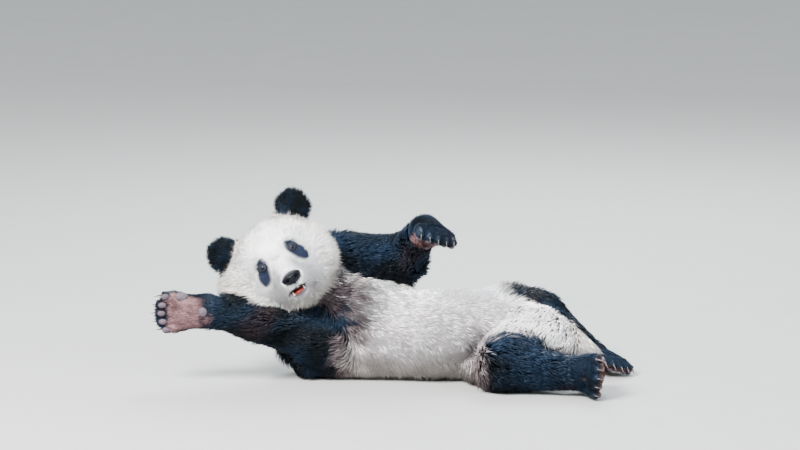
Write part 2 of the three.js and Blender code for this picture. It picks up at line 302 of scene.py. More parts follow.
@dataclass
class Skeleton:
    """The joints of the lying body, in the millimetres of the pose it was drawn in."""

    eye_left: Point = (-300.891, -86.183, 387.336)
    eye_right: Point = (-380.155, -96.732, 330.681)
    head_centre: Point = (-330.0, -4.0, 328.0)
    head_forward: Point = (0.02, -0.988, 0.156)
    head_crown: Point = (-0.588, 0.127, 0.799)
    tail_root: Point = (460.0, 50.0, 95.0)
    tail_tip: Point = (534.0, 20.0, 79.0)
    shoulder_left: Point = (-170.0, 108.0, 322.0)
    elbow_left: Point = (8.0, 82.0, 326.0)
    wrist_left: Point = (60.0, -48.0, 424.0)
    shoulder_right: Point = (-170.0, 5.0, 112.0)
    elbow_right: Point = (-380.0, -52.0, 180.0)
    wrist_right: Point = (-542.0, -85.0, 208.0)
    hip_left: Point = (302.0, 98.0, 150.0)
    knee_left: Point = (392.0, 198.0, 136.0)
    ankle_left: Point = (540.0, 118.0, 46.0)
    hip_right: Point = (385.0, 20.0, 105.0)
    knee_right: Point = (285.0, -188.0, 76.0)
    ankle_right: Point = (500.0, -252.0, 60.0)
    ear_spread: float = 122.0
    ear_height: float = 118.0
    eye_radius: float = 11.0
    paw_shape: PawShape = PawShape()
    paws: tuple[PawPlace, ...] = (
        PawPlace(Part.HIND_PAW_RIGHT, (522, -205, 63), (0.08, -1, 0.03), (-1, -0.08, 0.1), 1.1),
        PawPlace(Part.HIND_PAW_LEFT, (552, 112, 40), (0.55, -0.88, -0.02), (0.3, 0.05, 1), 1.06),
        PawPlace(Part.FOREPAW_RIGHT, (-542, -85, 208), (-1, -0.02, -0.02), (0, 1, 0.1), 1.08),
        PawPlace(Part.FOREPAW_LEFT, (78, -44, 432), (0.22, -1, -0.02), (0.34, -0.1, 1), 1.08),
    )
    shift: Array = field(init=False)
    head: LocalFrame = field(init=False)

    def __post_init__(self) -> None:
        """Finds where the pose lies in the model's frame from the places of the eyes."""
        offsets = []
        for node, drawn in (("eye_left", self.eye_left), ("eye_right", self.eye_right)):
            low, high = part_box(node)
            offsets.append(np.array((low + high) / 2) - np.array(drawn) * MM)
        self.shift = np.mean(offsets, 0)
        self.head = LocalFrame.facing(
            self.place(self.head_centre), self.head_forward, self.head_crown)

    def place(self, point: Point) -> Array:
        """Returns a point of the drawn pose in the model's metres."""
        return np.asarray(point, float) * MM + self.shift

    def drawn(self, points: Array) -> Array:
        """Returns points of the model, in metres, in the drawn pose's millimetres."""
        return (points - self.shift) / MM

    def paw(self, part: Part) -> LocalFrame:
        """Returns a paw's frame: toes along +Y, its back along +Z."""
        place = next(p for p in self.paws if p.part is part)
        return LocalFrame.facing(self.place(place.origin), place.toes, place.back, place.scale)

    def eye(self, side: int) -> LocalFrame:
        """Returns an eye's frame, +Y the way it looks; side is 1 for right, -1 for left."""
        drawn = self.eye_right if side > 0 else self.eye_left
        looks = self.head.turned([0.20 * side, 1.0, 0.03])
        return LocalFrame.facing(self.place(drawn), looks, self.head.turned([0, 0, 1]))

    def stretches(self) -> dict[Part, tuple[Array, Array]]:
        """Returns the bone line of each stretch that has one, from root to end."""
        ends = {
            Part.TAIL: (self.tail_root, self.tail_tip),
            Part.UPPER_ARM_LEFT: (self.shoulder_left, self.elbow_left),
            Part.FOREARM_LEFT: (self.elbow_left, self.wrist_left),
            Part.UPPER_ARM_RIGHT: (self.shoulder_right, self.elbow_right),
            Part.FOREARM_RIGHT: (self.elbow_right, self.wrist_right),
            Part.THIGH_LEFT: (self.hip_left, self.knee_left),
            Part.SHIN_LEFT: (self.knee_left, self.ankle_left),
            Part.THIGH_RIGHT: (self.hip_right, self.knee_right),
            Part.SHIN_RIGHT: (self.knee_right, self.ankle_right),
        }
        return {part: (self.place(a), self.place(b)) for part, (a, b) in ends.items()}


# ------------------------------------------------------------------------------ meshes


class Surface:
    """A closed triangle mesh as arrays, so that many points can be shaped at once."""

    def __init__(self, points: Array, triangles: Array) -> None:
        """Keeps the mesh and finds each point's neighbours.

        Args:
            points: Places in metres, one per row.
            triangles: Three point numbers per row.
        """
        self.points = points
        self.triangles = triangles
        pairs = np.concatenate([triangles[:, [0, 1]], triangles[:, [1, 2]], triangles[:, [2, 0]]])
        pairs = np.unique(np.sort(pairs, 1), axis=0)
        sources = np.concatenate([pairs[:, 0], pairs[:, 1]])
        order = np.argsort(sources, kind="stable")
        self.neighbours = np.concatenate([pairs[:, 1], pairs[:, 0]])[order]
        self.counts = np.bincount(sources, minlength=len(points))
        self.starts = np.concatenate([[0], np.cumsum(self.counts)[:-1]])

    @classmethod
    def of_mesh(cls, mesh: bpy.types.Mesh) -> Surface:
        """Reads a mesh's largest closed shell as triangles.

        Args:
            mesh: A mesh of any polygons.

        Returns:
            The surface.
        """
        bm = bmesh.new()
        bm.from_mesh(mesh)
        keep_largest_shell(bm)
        bmesh.ops.triangulate(bm, faces=bm.faces[:], quad_method="SHORT_EDGE")
        surface = cls.of_bmesh(bm)
        bm.free()
        return surface

    @classmethod
    def of_bmesh(cls, bm: bmesh.types.BMesh) -> Surface:
        """Reads a triangulated bmesh."""
        scratch = bpy.data.meshes.new("scratch")
        bm.to_mesh(scratch)
        points, corners = mesh_points(scratch), mesh_corners(scratch)
        bpy.data.meshes.remove(scratch)
        return cls(points.astype(float), corners.astype(np.int64))

    def average(self, values: Array) -> Array:
        """Returns, for each point, the mean of its neighbours' values."""
        sums = np.add.reduceat(values[self.neighbours], self.starts, axis=0)
        counts = self.counts if values.ndim == 1 else self.counts[:, None]
        return sums / counts

    def soothe(self, values: Array, rounds: int, weight: float | Array = 0.5) -> Array:
        """Spreads values over the mesh.

        Args:
            values: One value or row per point.
            rounds: How often each takes on part of its neighbours' mean.
            weight: How much of that mean it takes on.

        Returns:
            The smoothed values.
        """
        weight = np.asarray(weight, float)
        if values.ndim > 1 and weight.ndim == 1:
            weight = weight[:, None]
        for _ in range(rounds):
            values = values + weight * (self.average(values) - values)
        return values

    def normals(self) -> Array:
        """Returns the outward normal at each point."""
        a, b, c = (self.points[self.triangles[:, i]] for i in range(3))
        faces = np.cross(b - a, c - a)
        out = np.empty_like(self.points)
        corners = self.triangles.ravel()
        for axis in range(3):
            out[:, axis] = np.bincount(corners, np.repeat(faces[:, axis], 3), len(self.points))
        return unit(out)

    def areas(self) -> Array:
        """Returns each triangle's area."""
        a, b, c = (self.points[self.triangles[:, i]] for i in range(3))
        return np.linalg.norm(np.cross(b - a, c - a), axis=1) / 2.0

    def tree(self) -> BVHTree:
        """Returns a search tree of the triangles."""
        return BVHTree.FromPolygons(self.points.tolist(), self.triangles.tolist())

    def to_object(self, name: str) -> bpy.types.Object:
        """Returns a new object in the scene with this mesh."""
        return in_scene(name, mesh_of_arrays(name, self.points, self.triangles))


def in_scene(name: str, data: bpy.types.ID) -> bpy.types.Object:
    """Returns a new object in the scene that shows a mesh, a light or a camera."""
    piece = bpy.data.objects.new(name, data)
    bpy.context.scene.collection.objects.link(piece)
    return piece


def keep_largest_shell(bm: bmesh.types.BMesh) -> None:
    """Deletes every shell of a bmesh but the one with most points."""
    left = set(bm.verts)
    shells = []
    while left:
        first = left.pop()
        shell, front = [first], [first]
        while front:
            near = front.pop()
            for edge in near.link_edges:
                other = edge.other_vert(near)
                if other in left:
                    left.discard(other)
                    shell.append(other)
                    front.append(other)
        shells.append(shell)
    shells.sort(key=len)
    for shell in shells[:-1]:
        bmesh.ops.delete(bm, geom=shell, context="VERTS")


def mesh_points(mesh: bpy.types.Mesh) -> Array:
    """Returns the points of a mesh, one per row."""
    flat = np.empty(len(mesh.vertices) * 3, np.float32)
    mesh.vertices.foreach_get("co", flat)
    return flat.reshape(-1, 3)


def mesh_corners(mesh: bpy.types.Mesh) -> Array:
    """Returns the point numbers of each triangle of a mesh, one triangle per row."""
    flat = np.empty(len(mesh.loops), np.int32)
    mesh.loops.foreach_get("vertex_index", flat)
    return flat.reshape(-1, 3)


def mesh_of_arrays(name: str, points: Array, triangles: Array) -> bpy.types.Mesh:
    """Builds a smooth-shaded mesh.

    Args:
        name: Its name.
        points: Places in metres, one per row.
        triangles: Three point numbers per row.

    Returns:
        The mesh.
    """
    mesh = bpy.data.meshes.new(name)
    mesh.vertices.add(len(points))
    mesh.vertices.foreach_set("co", np.ascontiguousarray(points, np.float32).ravel())
    mesh.loops.add(3 * len(triangles))
    mesh.loops.foreach_set("vertex_index", np.ascontiguousarray(triangles, np.int32).ravel())
    mesh.polygons.add(len(triangles))
    mesh.polygons.foreach_set("loop_start", np.arange(0, 3 * len(triangles), 3, dtype=np.int32))
    mesh.update(calc_edges=True)
    mesh.shade_smooth()
    return mesh


def object_of_bmesh(name: str, bm: bmesh.types.BMesh) -> bpy.types.Object:
    """Turns a bmesh into a smooth-shaded object in the scene and frees it.

    Args:
        name: The object's name.
        bm: Its shape, in the model's metres.

    Returns:
        The object.
    """
    mesh = bpy.data.meshes.new(name)
    bm.to_mesh(mesh)
    bm.free()
    mesh.shade_smooth()
    return in_scene(name, mesh)


def object_in_order(name: str, bm: bmesh.types.BMesh) -> bpy.types.Object:
    """Turns a bmesh into a smooth-shaded object with its points and faces sorted, and frees it.

    Some bmesh operators return the same faces in another order each time they run.

    Args:
        name: The object's name.
        bm: Its shape, in the model's metres.

    Returns:
        The object.
    """
    bm.verts.index_update()
    verts = sorted(bm.verts, key=lambda vert: vert.co[:])
    rank = {vert.index: number for number, vert in enumerate(verts)}
    rings = [[rank[vert.index] for vert in face.verts] for face in bm.faces]
    mesh = bpy.data.meshes.new(name)
    mesh.from_pydata([vert.co[:] for vert in verts], [], sorted(rings, key=sorted))
    bm.free()
    mesh.shade_smooth()
    return in_scene(name, mesh)


def paint(mesh: bpy.types.Mesh, colours: Array) -> None:
    """Stores a colour at each point of a mesh.

    Args:
        mesh: The mesh.
        colours: Red, green and blue per point, linear.
    """
    rgba = np.ones((len(colours), 4), np.float32)
    rgba[:, :3] = np.clip(colours, 0.0, 1.0)
    layer = mesh.color_attributes.new(COAT_TINT, "FLOAT_COLOR", "POINT")
    layer.data.foreach_set("color", rgba.ravel())


def fuse(piece: bpy.types.Object, voxel: float) -> Surface:
    """Joins the overlapping shells of an object into one and removes the object.

    Args:
        piece: An object of one or more closed shells.
        voxel: The size of the mesh's cells in metres.

    Returns:
        The outermost surface.
    """
    modifier = piece.modifiers.new("fuse", "REMESH")
    modifier.mode = "VOXEL"
    modifier.voxel_size = voxel
    depsgraph = bpy.context.evaluated_depsgraph_get()
    mesh = bpy.data.meshes.new_from_object(piece.evaluated_get(depsgraph))
    surface = Surface.of_mesh(mesh)
    bpy.data.meshes.remove(mesh)
    bpy.data.objects.remove(piece)
    return surface


def nearest(tree: BVHTree, points: Array) -> tuple[Array, Array]:
    """Finds the closest triangle of a tree to each point.

    Args:
        tree: The search tree.
        points: Places in metres.

    Returns:
        The triangles' numbers and the distances in metres.
    """
    found = [tree.find_nearest(point) for point in points.tolist()]
    return (np.array([f[2] for f in found]), np.array([f[3] for f in found]))


# ------------------------------------------------------------------------------ node groups


class Group(Enum):
    """The shared effects, each a node group built once."""

    STRANDS = "strand_variation"
    PORES = "leather_pores"

    def tree(self) -> bpy.types.ShaderNodeTree:
        """Returns the group, built on its first use."""
        found = bpy.data.node_groups.get(self.value)
        if found is not None:
            return found
        return strand_group() if self is Group.STRANDS else pore_group()


def new_group(
    name: str, inputs: dict[str, tuple[str, float | None]], outputs: dict[str, str],
) -> tuple[bpy.types.ShaderNodeTree, bpy.types.Node, bpy.types.Node]:
    """Starts a node group.

    Args:
        name: Its name.
        inputs: Each input's socket type and default.
        outputs: Each output's socket type.

    Returns:
        The group, its input node and its output node.
    """
    tree = bpy.data.node_groups.new(name, "ShaderNodeTree")
    for label, (kind, default) in inputs.items():
        socket = tree.interface.new_socket(name=label, in_out="INPUT", socket_type=kind)
        if default is not None:
            socket.default_value = default
    for label, kind in outputs.items():
        tree.interface.new_socket(name=label, in_out="OUTPUT", socket_type=kind)
    return tree, tree.nodes.new("NodeGroupInput"), tree.nodes.new("NodeGroupOutput")


def object_place(tree: bpy.types.NodeTree) -> bpy.types.NodeSocket:
    """Adds the object's own coordinates and returns their socket."""
    return tree.nodes.new("ShaderNodeTexCoord").outputs["Object"]


def noise(tree: bpy.types.NodeTree, vector: bpy.types.NodeSocket, scale: float,
          detail: float = 2.0) -> bpy.types.NodeSocket:
    """Adds a noise texture on a vector and returns its value socket."""
    node = tree.nodes.new("ShaderNodeTexNoise")
    node.inputs["Scale"].default_value = scale
    node.inputs["Detail"].default_value = detail
    tree.links.new(vector, node.inputs["Vector"])
    return node.outputs["Fac"]


def spread(tree: bpy.types.NodeTree, value: bpy.types.NodeSocket, low: float, high: float,
           start: float = 0.3, end: float = 0.7) -> bpy.types.NodeSocket:
    """Adds a Map Range from start..end to low..high and returns its result."""
    node = tree.nodes.new("ShaderNodeMapRange")
    node.inputs["From Min"].default_value = start
    node.inputs["From Max"].default_value = end
    node.inputs["To Min"].default_value = low
    node.inputs["To Max"].default_value = high
    tree.links.new(value, node.inputs["Value"])
    return node.outputs["Result"]


def strand_group() -> bpy.types.ShaderNodeTree:
    """Builds the group that varies a coat's colour from hair to hair and lock to lock."""
    tree, given, out = new_group(
        Group.STRANDS.value,
        {"Tint": ("NodeSocketColor", None), "Strength": ("NodeSocketFloat", 0.2)},
        {"Color": "NodeSocketColor", "Gloss": "NodeSocketFloat", "Height": "NodeSocketFloat"},
    )
    where = object_place(tree)
    fine, broad = noise(tree, where, 420.0, 3.0), noise(tree, where, 38.0, 2.0)
    total = tree.nodes.new("ShaderNodeMath")
    total.operation = "ADD"
    tree.links.new(spread(tree, fine, -0.6, 0.6), total.inputs[0])
    tree.links.new(spread(tree, broad, -0.4, 0.4), total.inputs[1])
    scaled = tree.nodes.new("ShaderNodeMath")
    scaled.operation = "MULTIPLY_ADD"
    tree.links.new(total.outputs[0], scaled.inputs[0])
    tree.links.new(given.outputs["Strength"], scaled.inputs[1])
    scaled.inputs[2].default_value = 1.0
    tinted = tree.nodes.new("ShaderNodeVectorMath")
    tinted.operation = "SCALE"
    tree.links.new(given.outputs["Tint"], tinted.inputs[0])
    tree.links.new(scaled.outputs[0], tinted.inputs["Scale"])
    tree.links.new(tinted.outputs["Vector"], out.inputs["Color"])
    tree.links.new(broad, out.inputs["Gloss"])
    tree.links.new(fine, out.inputs["Height"])
    return tree


def pore_group() -> bpy.types.ShaderNodeTree:
    """Builds the group that gives bare leather its pebbled grain."""
    tree, given, out = new_group(
        Group.PORES.value,
        {"Tint": ("NodeSocketColor", None), "Scale": ("NodeSocketFloat", 900.0)},
        {"Color": "NodeSocketColor", "Height": "NodeSocketFloat"},
    )
    where = object_place(tree)
    cells = tree.nodes.new("ShaderNodeTexVoronoi")
    tree.links.new(where, cells.inputs["Vector"])
    tree.links.new(given.outputs["Scale"], cells.inputs["Scale"])
    broad = noise(tree, where, 160.0, 3.0)
    shade = tree.nodes.new("ShaderNodeVectorMath")
    shade.operation = "SCALE"
    tree.links.new(given.outputs["Tint"], shade.inputs[0])
    tree.links.new(spread(tree, broad, 0.72, 1.28), shade.inputs["Scale"])
    tree.links.new(shade.outputs["Vector"], out.inputs["Color"])
    tree.links.new(cells.outputs["Distance"], out.inputs["Height"])
    return tree


# ------------------------------------------------------------------------------ finishes


def new_material(name: str) -> tuple[bpy.types.Material, bpy.types.NodeTree, bpy.types.Node]:
    """Returns a fresh material, its node tree and its Principled shader."""
    material = bpy.data.materials.new(name)
    material.use_nodes = True
    tree = material.node_tree
    return material, tree, tree.nodes["Principled BSDF"]


def bump(tree: bpy.types.NodeTree, shader: bpy.types.Node, height: bpy.types.NodeSocket,
         strength: float, distance: float) -> None:
    """Adds a bump from a height to a shader's normal."""
    node = tree.nodes.new("ShaderNodeBump")
    node.inputs["Strength"].default_value = strength
    node.inputs["Distance"].default_value = distance
    tree.links.new(height, node.inputs["Height"])
    tree.links.new(node.outputs["Normal"], shader.inputs["Normal"])


@dataclass(frozen=True)
class CoatFinish:
    """Hair or haired skin, coloured by its own attribute.

    Attributes:
        name: The material's name.
        variation: How much the colour changes from hair to hair.
        rough_dark: Roughness of black hair.
        rough_pale: Roughness of white hair.
        relief: Strength of the fine relief.
        sheen: Weight of the soft sheen.
    """

    name: str
    variation: float = 0.25
    rough_dark: float = 0.42
    rough_pale: float = 0.75
    relief: float = 0.0
    sheen: float = 0.0

    def material(self) -> bpy.types.Material:
        """Builds the material."""
        material, tree, shader = new_material(self.name)
        tint = tree.nodes.new("ShaderNodeAttribute")
        tint.attribute_name = COAT_TINT
        strands = tree.nodes.new("ShaderNodeGroup")
        strands.node_tree = Group.STRANDS.tree()
        strands.inputs["Strength"].default_value = self.variation
        tree.links.new(tint.outputs["Color"], strands.inputs["Tint"])
        tree.links.new(strands.outputs["Color"], shader.inputs["Base Color"])
        luminance = tree.nodes.new("ShaderNodeRGBToBW")
        tree.links.new(tint.outputs["Color"], luminance.inputs["Color"])
        rough = spread(tree, luminance.outputs["Val"], self.rough_dark, self.rough_pale, 0.02, 0.4)
        tree.links.new(rough, shader.inputs["Roughness"])
        shader.inputs["Specular IOR Level"].default_value = 0.12
        shader.inputs["Sheen Weight"].default_value = self.sheen
        shader.inputs["Sheen Roughness"].default_value = 0.4
        if self.relief > 0.0:
            bump(tree, shader, strands.outputs["Height"], self.relief, 0.0015)
        return material


@dataclass(frozen=True)
class LeatherFinish:
    """Bare skin with a pebbled grain.

    Attributes:
        name: The material's name.
        colour: Its colour, linear.
        roughness: How dull it is.
        grain: How fine the grain is, in cells per metre.
        relief: How deep the grain shows.
        wet: Weight of a clear wet coat.
        shine: How strongly it mirrors, as the shader's specular level.
    """

    name: str
    colour: Colour
    roughness: float = 0.45
    grain: float = 900.0
    relief: float = 0.5
    wet: float = 0.0
    shine: float = 0.2

    def material(self) -> bpy.types.Material:
        """Builds the material."""
        material, tree, shader = new_material(self.name)
        pores = tree.nodes.new("ShaderNodeGroup")
        pores.node_tree = Group.PORES.tree()
        pores.inputs["Scale"].default_value = self.grain
        pores.inputs["Tint"].default_value = (*self.colour, 1.0)
        tree.links.new(pores.outputs["Color"], shader.inputs["Base Color"])
        shader.inputs["Roughness"].default_value = self.roughness
        shader.inputs["Specular IOR Level"].default_value = self.shine
        shader.inputs["Coat Weight"].default_value = self.wet
        shader.inputs["Coat Roughness"].default_value = 0.15
        bump(tree, shader, pores.outputs["Height"], self.relief, 0.0006)
        return material


@dataclass(frozen=True)
class HornFinish:
    """Claw horn or tooth enamel: pale, smooth, streaked along its length."""

    name: str
    pale: Colour
    dark: Colour
    roughness: float = 0.28

    def material(self) -> bpy.types.Material:
        """Builds the material."""
        material, tree, shader = new_material(self.name)
        where = object_place(tree)
        streaks = noise(tree, where, 260.0, 4.0)
        blend = tree.nodes.new("ShaderNodeMix")
        blend.data_type = "RGBA"
        blend.inputs["A"].default_value = (*self.dark, 1.0)
        blend.inputs["B"].default_value = (*self.pale, 1.0)
        tree.links.new(spread(tree, streaks, 0.0, 1.0, 0.36, 0.56), blend.inputs["Factor"])
        tree.links.new(blend.outputs["Result"], shader.inputs["Base Color"])
        shader.inputs["Roughness"].default_value = self.roughness
        shader.inputs["Specular IOR Level"].default_value = 0.3
        bump(tree, shader, streaks, 0.2, 0.0004)
        return material


@dataclass(frozen=True)
class EyeFinish:
    """A wet eye, coloured by its own attribute under a clear coat."""

    name: str = "wet_eye"

    def material(self) -> bpy.types.Material:
        """Builds the material."""
        material, tree, shader = new_material(self.name)
        tint = tree.nodes.new("ShaderNodeAttribute")
        tint.attribute_name = COAT_TINT
        tree.links.new(tint.outputs["Color"], shader.inputs["Base Color"])
        where = object_place(tree)
        rough = spread(tree, noise(tree, where, 900.0, 3.0), 0.05, 0.12)
        tree.links.new(rough, shader.inputs["Roughness"])
        shader.inputs["Specular IOR Level"].default_value = 0.05
        shader.inputs["Coat Weight"].default_value = 0.10
        shader.inputs["Coat Roughness"].default_value = 0.02
        return material


@dataclass(frozen=True)
class FloorFinish:
    """A plain pale studio floor."""

    name: str = "studio_floor"
    colour: Colour = (0.30, 0.305, 0.30)

    def material(self) -> bpy.types.Material:
        """Builds the material."""
        material, tree, shader = new_material(self.name)
        where = object_place(tree)
        rough = spread(tree, noise(tree, where, 6.0, 4.0), 0.72, 0.86)
        tree.links.new(rough, shader.inputs["Roughness"])
        shader.inputs["Base Color"].default_value = (*self.colour, 1.0)
        return material


# ------------------------------------------------------------------------------ markings


@dataclass
class Markings:
    """The panda's black and white, as one function of place that skin and coat share."""

    skeleton: Skeleton
    white: Colour = (0.93, 0.93, 0.935)
    cream: Colour = (0.80, 0.72, 0.64)
    rosy: Colour = (0.48, 0.375, 0.37)
    woolly: Colour = (0.36, 0.315, 0.275)
    belly: Colour = (0.74, 0.70, 0.71)
    black: Colour = (0.0008, 0.0022, 0.0036)
    # Black hair with a painted blue sheen in its colour.
    blue_black: Colour = (0.0064, 0.0145, 0.0300)
    brown_black: Colour = (0.010, 0.0055, 0.0065)
    brown: Colour = (0.050, 0.036, 0.040)
    slate: Colour = (0.021, 0.028, 0.055)
    tan: Colour = (0.19, 0.108, 0.112)
    sole_brown: Colour = (0.085, 0.042, 0.031)
    shadow: Colour = (0.30, 0.29, 0.34)
    patch_centre: tuple[float, float] = (56.5, 10.5)
    patch_axis: tuple[float, float] = (0.36, -0.933)
    patch_half: tuple[float, float] = (42.0, 18.8)
    chest_border: Border = ((20.0, 100.0, 160.0, 250.0), (-192.0, -166.0, -150.0, -152.0))
    right_leg_top: Border = ((230.0, 285.0, 370.0, 420.0, 450.0, 510.0, 545.0),
                             (162.0, 182.0, 184.0, 150.0, 134.0, 134.0, 150.0))
    left_leg_brink: Border = ((300.0, 336.0, 425.0, 510.0, 560.0),
                              (272.0, 253.0, 217.0, 184.0, 150.0))

    def black_coat(self, p: Array) -> Array:
        """Returns the colours of black hair at places of the drawn pose, in millimetres, with a
        painted blue sheen that is strongest on the hind legs and on top.
        """
        x, y, z = p.T
        # Painted blue sheen: more on the hind legs and on top, less on the far side, patchy.
        painted_sheen = waves(p, 60.0, 1) + 0.9 * ramp(x, 150.0, 350.0) + 0.7 * ramp(z, 330.0, 420.0)
        painted_sheen -= 1.1 * ramp(y, 50.0, 150.0)
        out = mix(self.black, self.blue_black, ramp(painted_sheen, -1.0, 1.6))
        return mix(out, self.brown_black, 0.7 * ramp(waves(p, 85.0, 2), 0.5, 1.6))

    def eye_patch(self, h: Array) -> Array:
        """Returns how much of the eye patches each place of the head's frame has."""
        share = np.zeros(len(h))
        ragged = 0.02 * waves(h, 6.0, 3)
        for side in (1.0, -1.0):
            offset = h[:, [0, 2]] - np.array([side * self.patch_centre[0], self.patch_centre[1]])
            along = offset @ np.array([side * self.patch_axis[0], self.patch_axis[1]])
            across = offset @ np.array([self.patch_axis[1], -side * self.patch_axis[0]])
            half = self.patch_half[1] * (1.0 + 0.10 * np.clip(along / self.patch_half[0], -1, 1))
            q = np.sqrt((along / self.patch_half[0]) ** 2 + (across / half) ** 2) + ragged
            share = np.maximum(share, ramp(q, 1.04, 0.96) * (h[:, 1] > 20.0))
        return share

    def head(self, p: Array, h: Array) -> Array:
        """Returns the head's colours.

        Args:
            p: Places of the drawn pose, in millimetres.
            h: The same places in the head's frame.

        Returns:
            Colours, linear.
        """
        from_face = np.linalg.norm(h - np.array([0.0, 110.0, 10.0]), axis=1)
        uneven = 14.0 * waves(p, 30.0, 4) + 9.0 * waves(p, 5.0, 27)
        creamy = 0.8 * ramp(from_face + uneven, 88.0, 190.0)
        out = mix(self.white, self.cream, creamy)
        # Painted shade in the hollows beside the nose.
        for side in (1.0, -1.0):
            beside = (h[:, [0, 2]] - np.array([side * 31.0, -14.0])) / np.array([10.0, 24.0])
            painted_shade_beside_nose = 0.4 * ramp(np.linalg.norm(beside, axis=1), 1.4, 0.3) * (h[:, 1] > 60.0)
            out = mix(out, self.shadow, painted_shade_beside_nose)
        round_lips = (h[:, [0, 2]] - np.array([0.0, -92.0])) / np.array([46.0, 15.0])
        dusky = ramp(np.linalg.norm(round_lips, axis=1) + 0.25 * waves(p, 5.0, 28), 1.35, 0.7)
        out = mix(out, self.shadow, 0.55 * dusky * (h[:, 1] > 60.0))
        # Grey-brown under the jaw: partly the fur's own colour, partly painted shade under the jaw.
        chin = ramp(h[:, 2] + 6.0 * waves(p, 14.0, 5), -92.0, -128.0) * ramp(h[:, 1], -30.0, 40.0)
        out = mix(out, self.woolly, 0.6 * chin)
        brow = (h[:, [0, 2]] - np.array([4.0, 24.0])) / np.array([15.0, 8.0])
        brow = np.linalg.norm(brow, axis=1)
        dusk = 0.75 * ramp(brow + 0.35 * waves(h, 3.5, 6), 1.4, 0.3) * (h[:, 1] > 60.0)
        out = mix(out, self.shadow, dusk)
        return mix(out, self.slate, self.eye_patch(h))

    def trunk(self, p: Array) -> Array:
        """Returns the colours of trunk and neck at places of the drawn pose."""
        x, y, z = p.T
        base = mix(self.white, self.cream, ramp(waves(p, 70.0, 7), -0.4, 1.5) * 0.55)
        front = ramp(y, 60.0, -40.0)
        out = mix(base, self.belly, 0.85 * front * ramp(z, 270.0, 190.0) * ramp(x, 390.0, 300.0))
        chestward = ramp(x, 20.0, -140.0)
        blush = front * (0.25 + 0.35 * chestward)
        out = mix(out, self.rosy, blush * ramp(waves(p, 48.0, 8), -0.8, 1.0))
        low = front * ramp(z + 16.0 * waves(p, 34.0, 9), 120.0, 20.0)
        out = mix(out, self.woolly, 0.8 * low)
        shin_side = front * ramp(np.abs(x - 222.0), 66.0, 22.0) * ramp(z, 175.0, 90.0)
        out = mix(out, self.brown, 0.93 * shin_side * ramp(waves(p, 14.0, 22), -2.4, -0.2))
        before, ragged = self.behind_chest(p)
        wide = 58.0 + 58.0 * ramp(z, 130.0, 240.0)
        patchy = ramp(waves(p, 10.0, 21), -2.6, -0.6)
        from_head = np.linalg.norm(p - np.array(self.skeleton.head_centre), axis=1)
        wide = wide * (0.3 + 0.7 * front)
        frontal = np.maximum(front, 0.6 * ramp(from_head, 160.0, 190.0))
        out = mix(out, self.brown, 0.96 * ramp(before, wide, 0.3 * wide) * patchy * frontal)
        band = ramp(before, 14.0, -12.0)
        band = band * ramp(from_head + 0.6 * ragged, 156.0, 172.0)
        throat = 0.75 * front * ramp(from_head + ragged, 215.0, 170.0) * ramp(x, -215.0, -185.0)
        return mix(out, mix(self.black_coat(p), self.brown, throat), band)

    def behind_chest(self, p: Array) -> tuple[Array, Array]:
        """Returns how far behind the black band round the chest each place lies.

        Args:
            p: Places of the drawn pose, in millimetres.

        Returns:
            The distances, and how ragged the edge is there.
        """
        x, y, z = p.T
        edge_front = np.interp(z, *self.chest_border)
        edge = mix_number(edge_front, -120.0, ramp(y, 20.0, 130.0))
        ragged = 13.0 * waves(p, 26.0, 10) + 8.0 * waves(p, 9.0, 11)
        return x - edge + ragged, ragged

    def hind_black(self, p: Array, right: Array, left: Array) -> Array:
        """Returns how black the hind legs are.

        Args:
            p: Places of the drawn pose.
            right: How much of the right hind leg each place is.
            left: How much of the left hind leg each place is.

        Returns:
            Shares from 0 to 1.
        """
        x, y, z = p.T
        ragged = 7.0 * waves(p, 20.0, 12) + 4.0 * waves(p, 8.0, 13)
        seen = 0.988 * z + 0.156 * (y + 340.0)
        top = np.interp(x, *self.right_leg_top)
        lower = ramp(seen - top + ragged, 9.0, -9.0) * ramp(x + ragged, 230.0, 246.0)
        lower = lower * np.maximum(ramp(y, 70.0, 0.0), ramp(z, 80.0, 55.0))
        behind = (z - (175.0 - 0.5 * (x - 350.0))) + 1.2 * (y - 90.0)
        start = ramp(x + 1.5 * ragged, 290.0, 312.0)
        upper = ramp(behind + ragged, -8.0, 8.0) * start * ramp(left, 0.25, 0.6)
        brink = np.interp(x, *self.left_leg_brink)
        across = ramp(y, 175.0, 150.0) * ramp(y, 20.0, 40.0)
        band = ramp(seen - brink + ragged, -7.0, 7.0) * start * across
        return np.clip(lower * ramp(right, 0.25, 0.6) + np.maximum(upper, band), 0.0, 1.0)

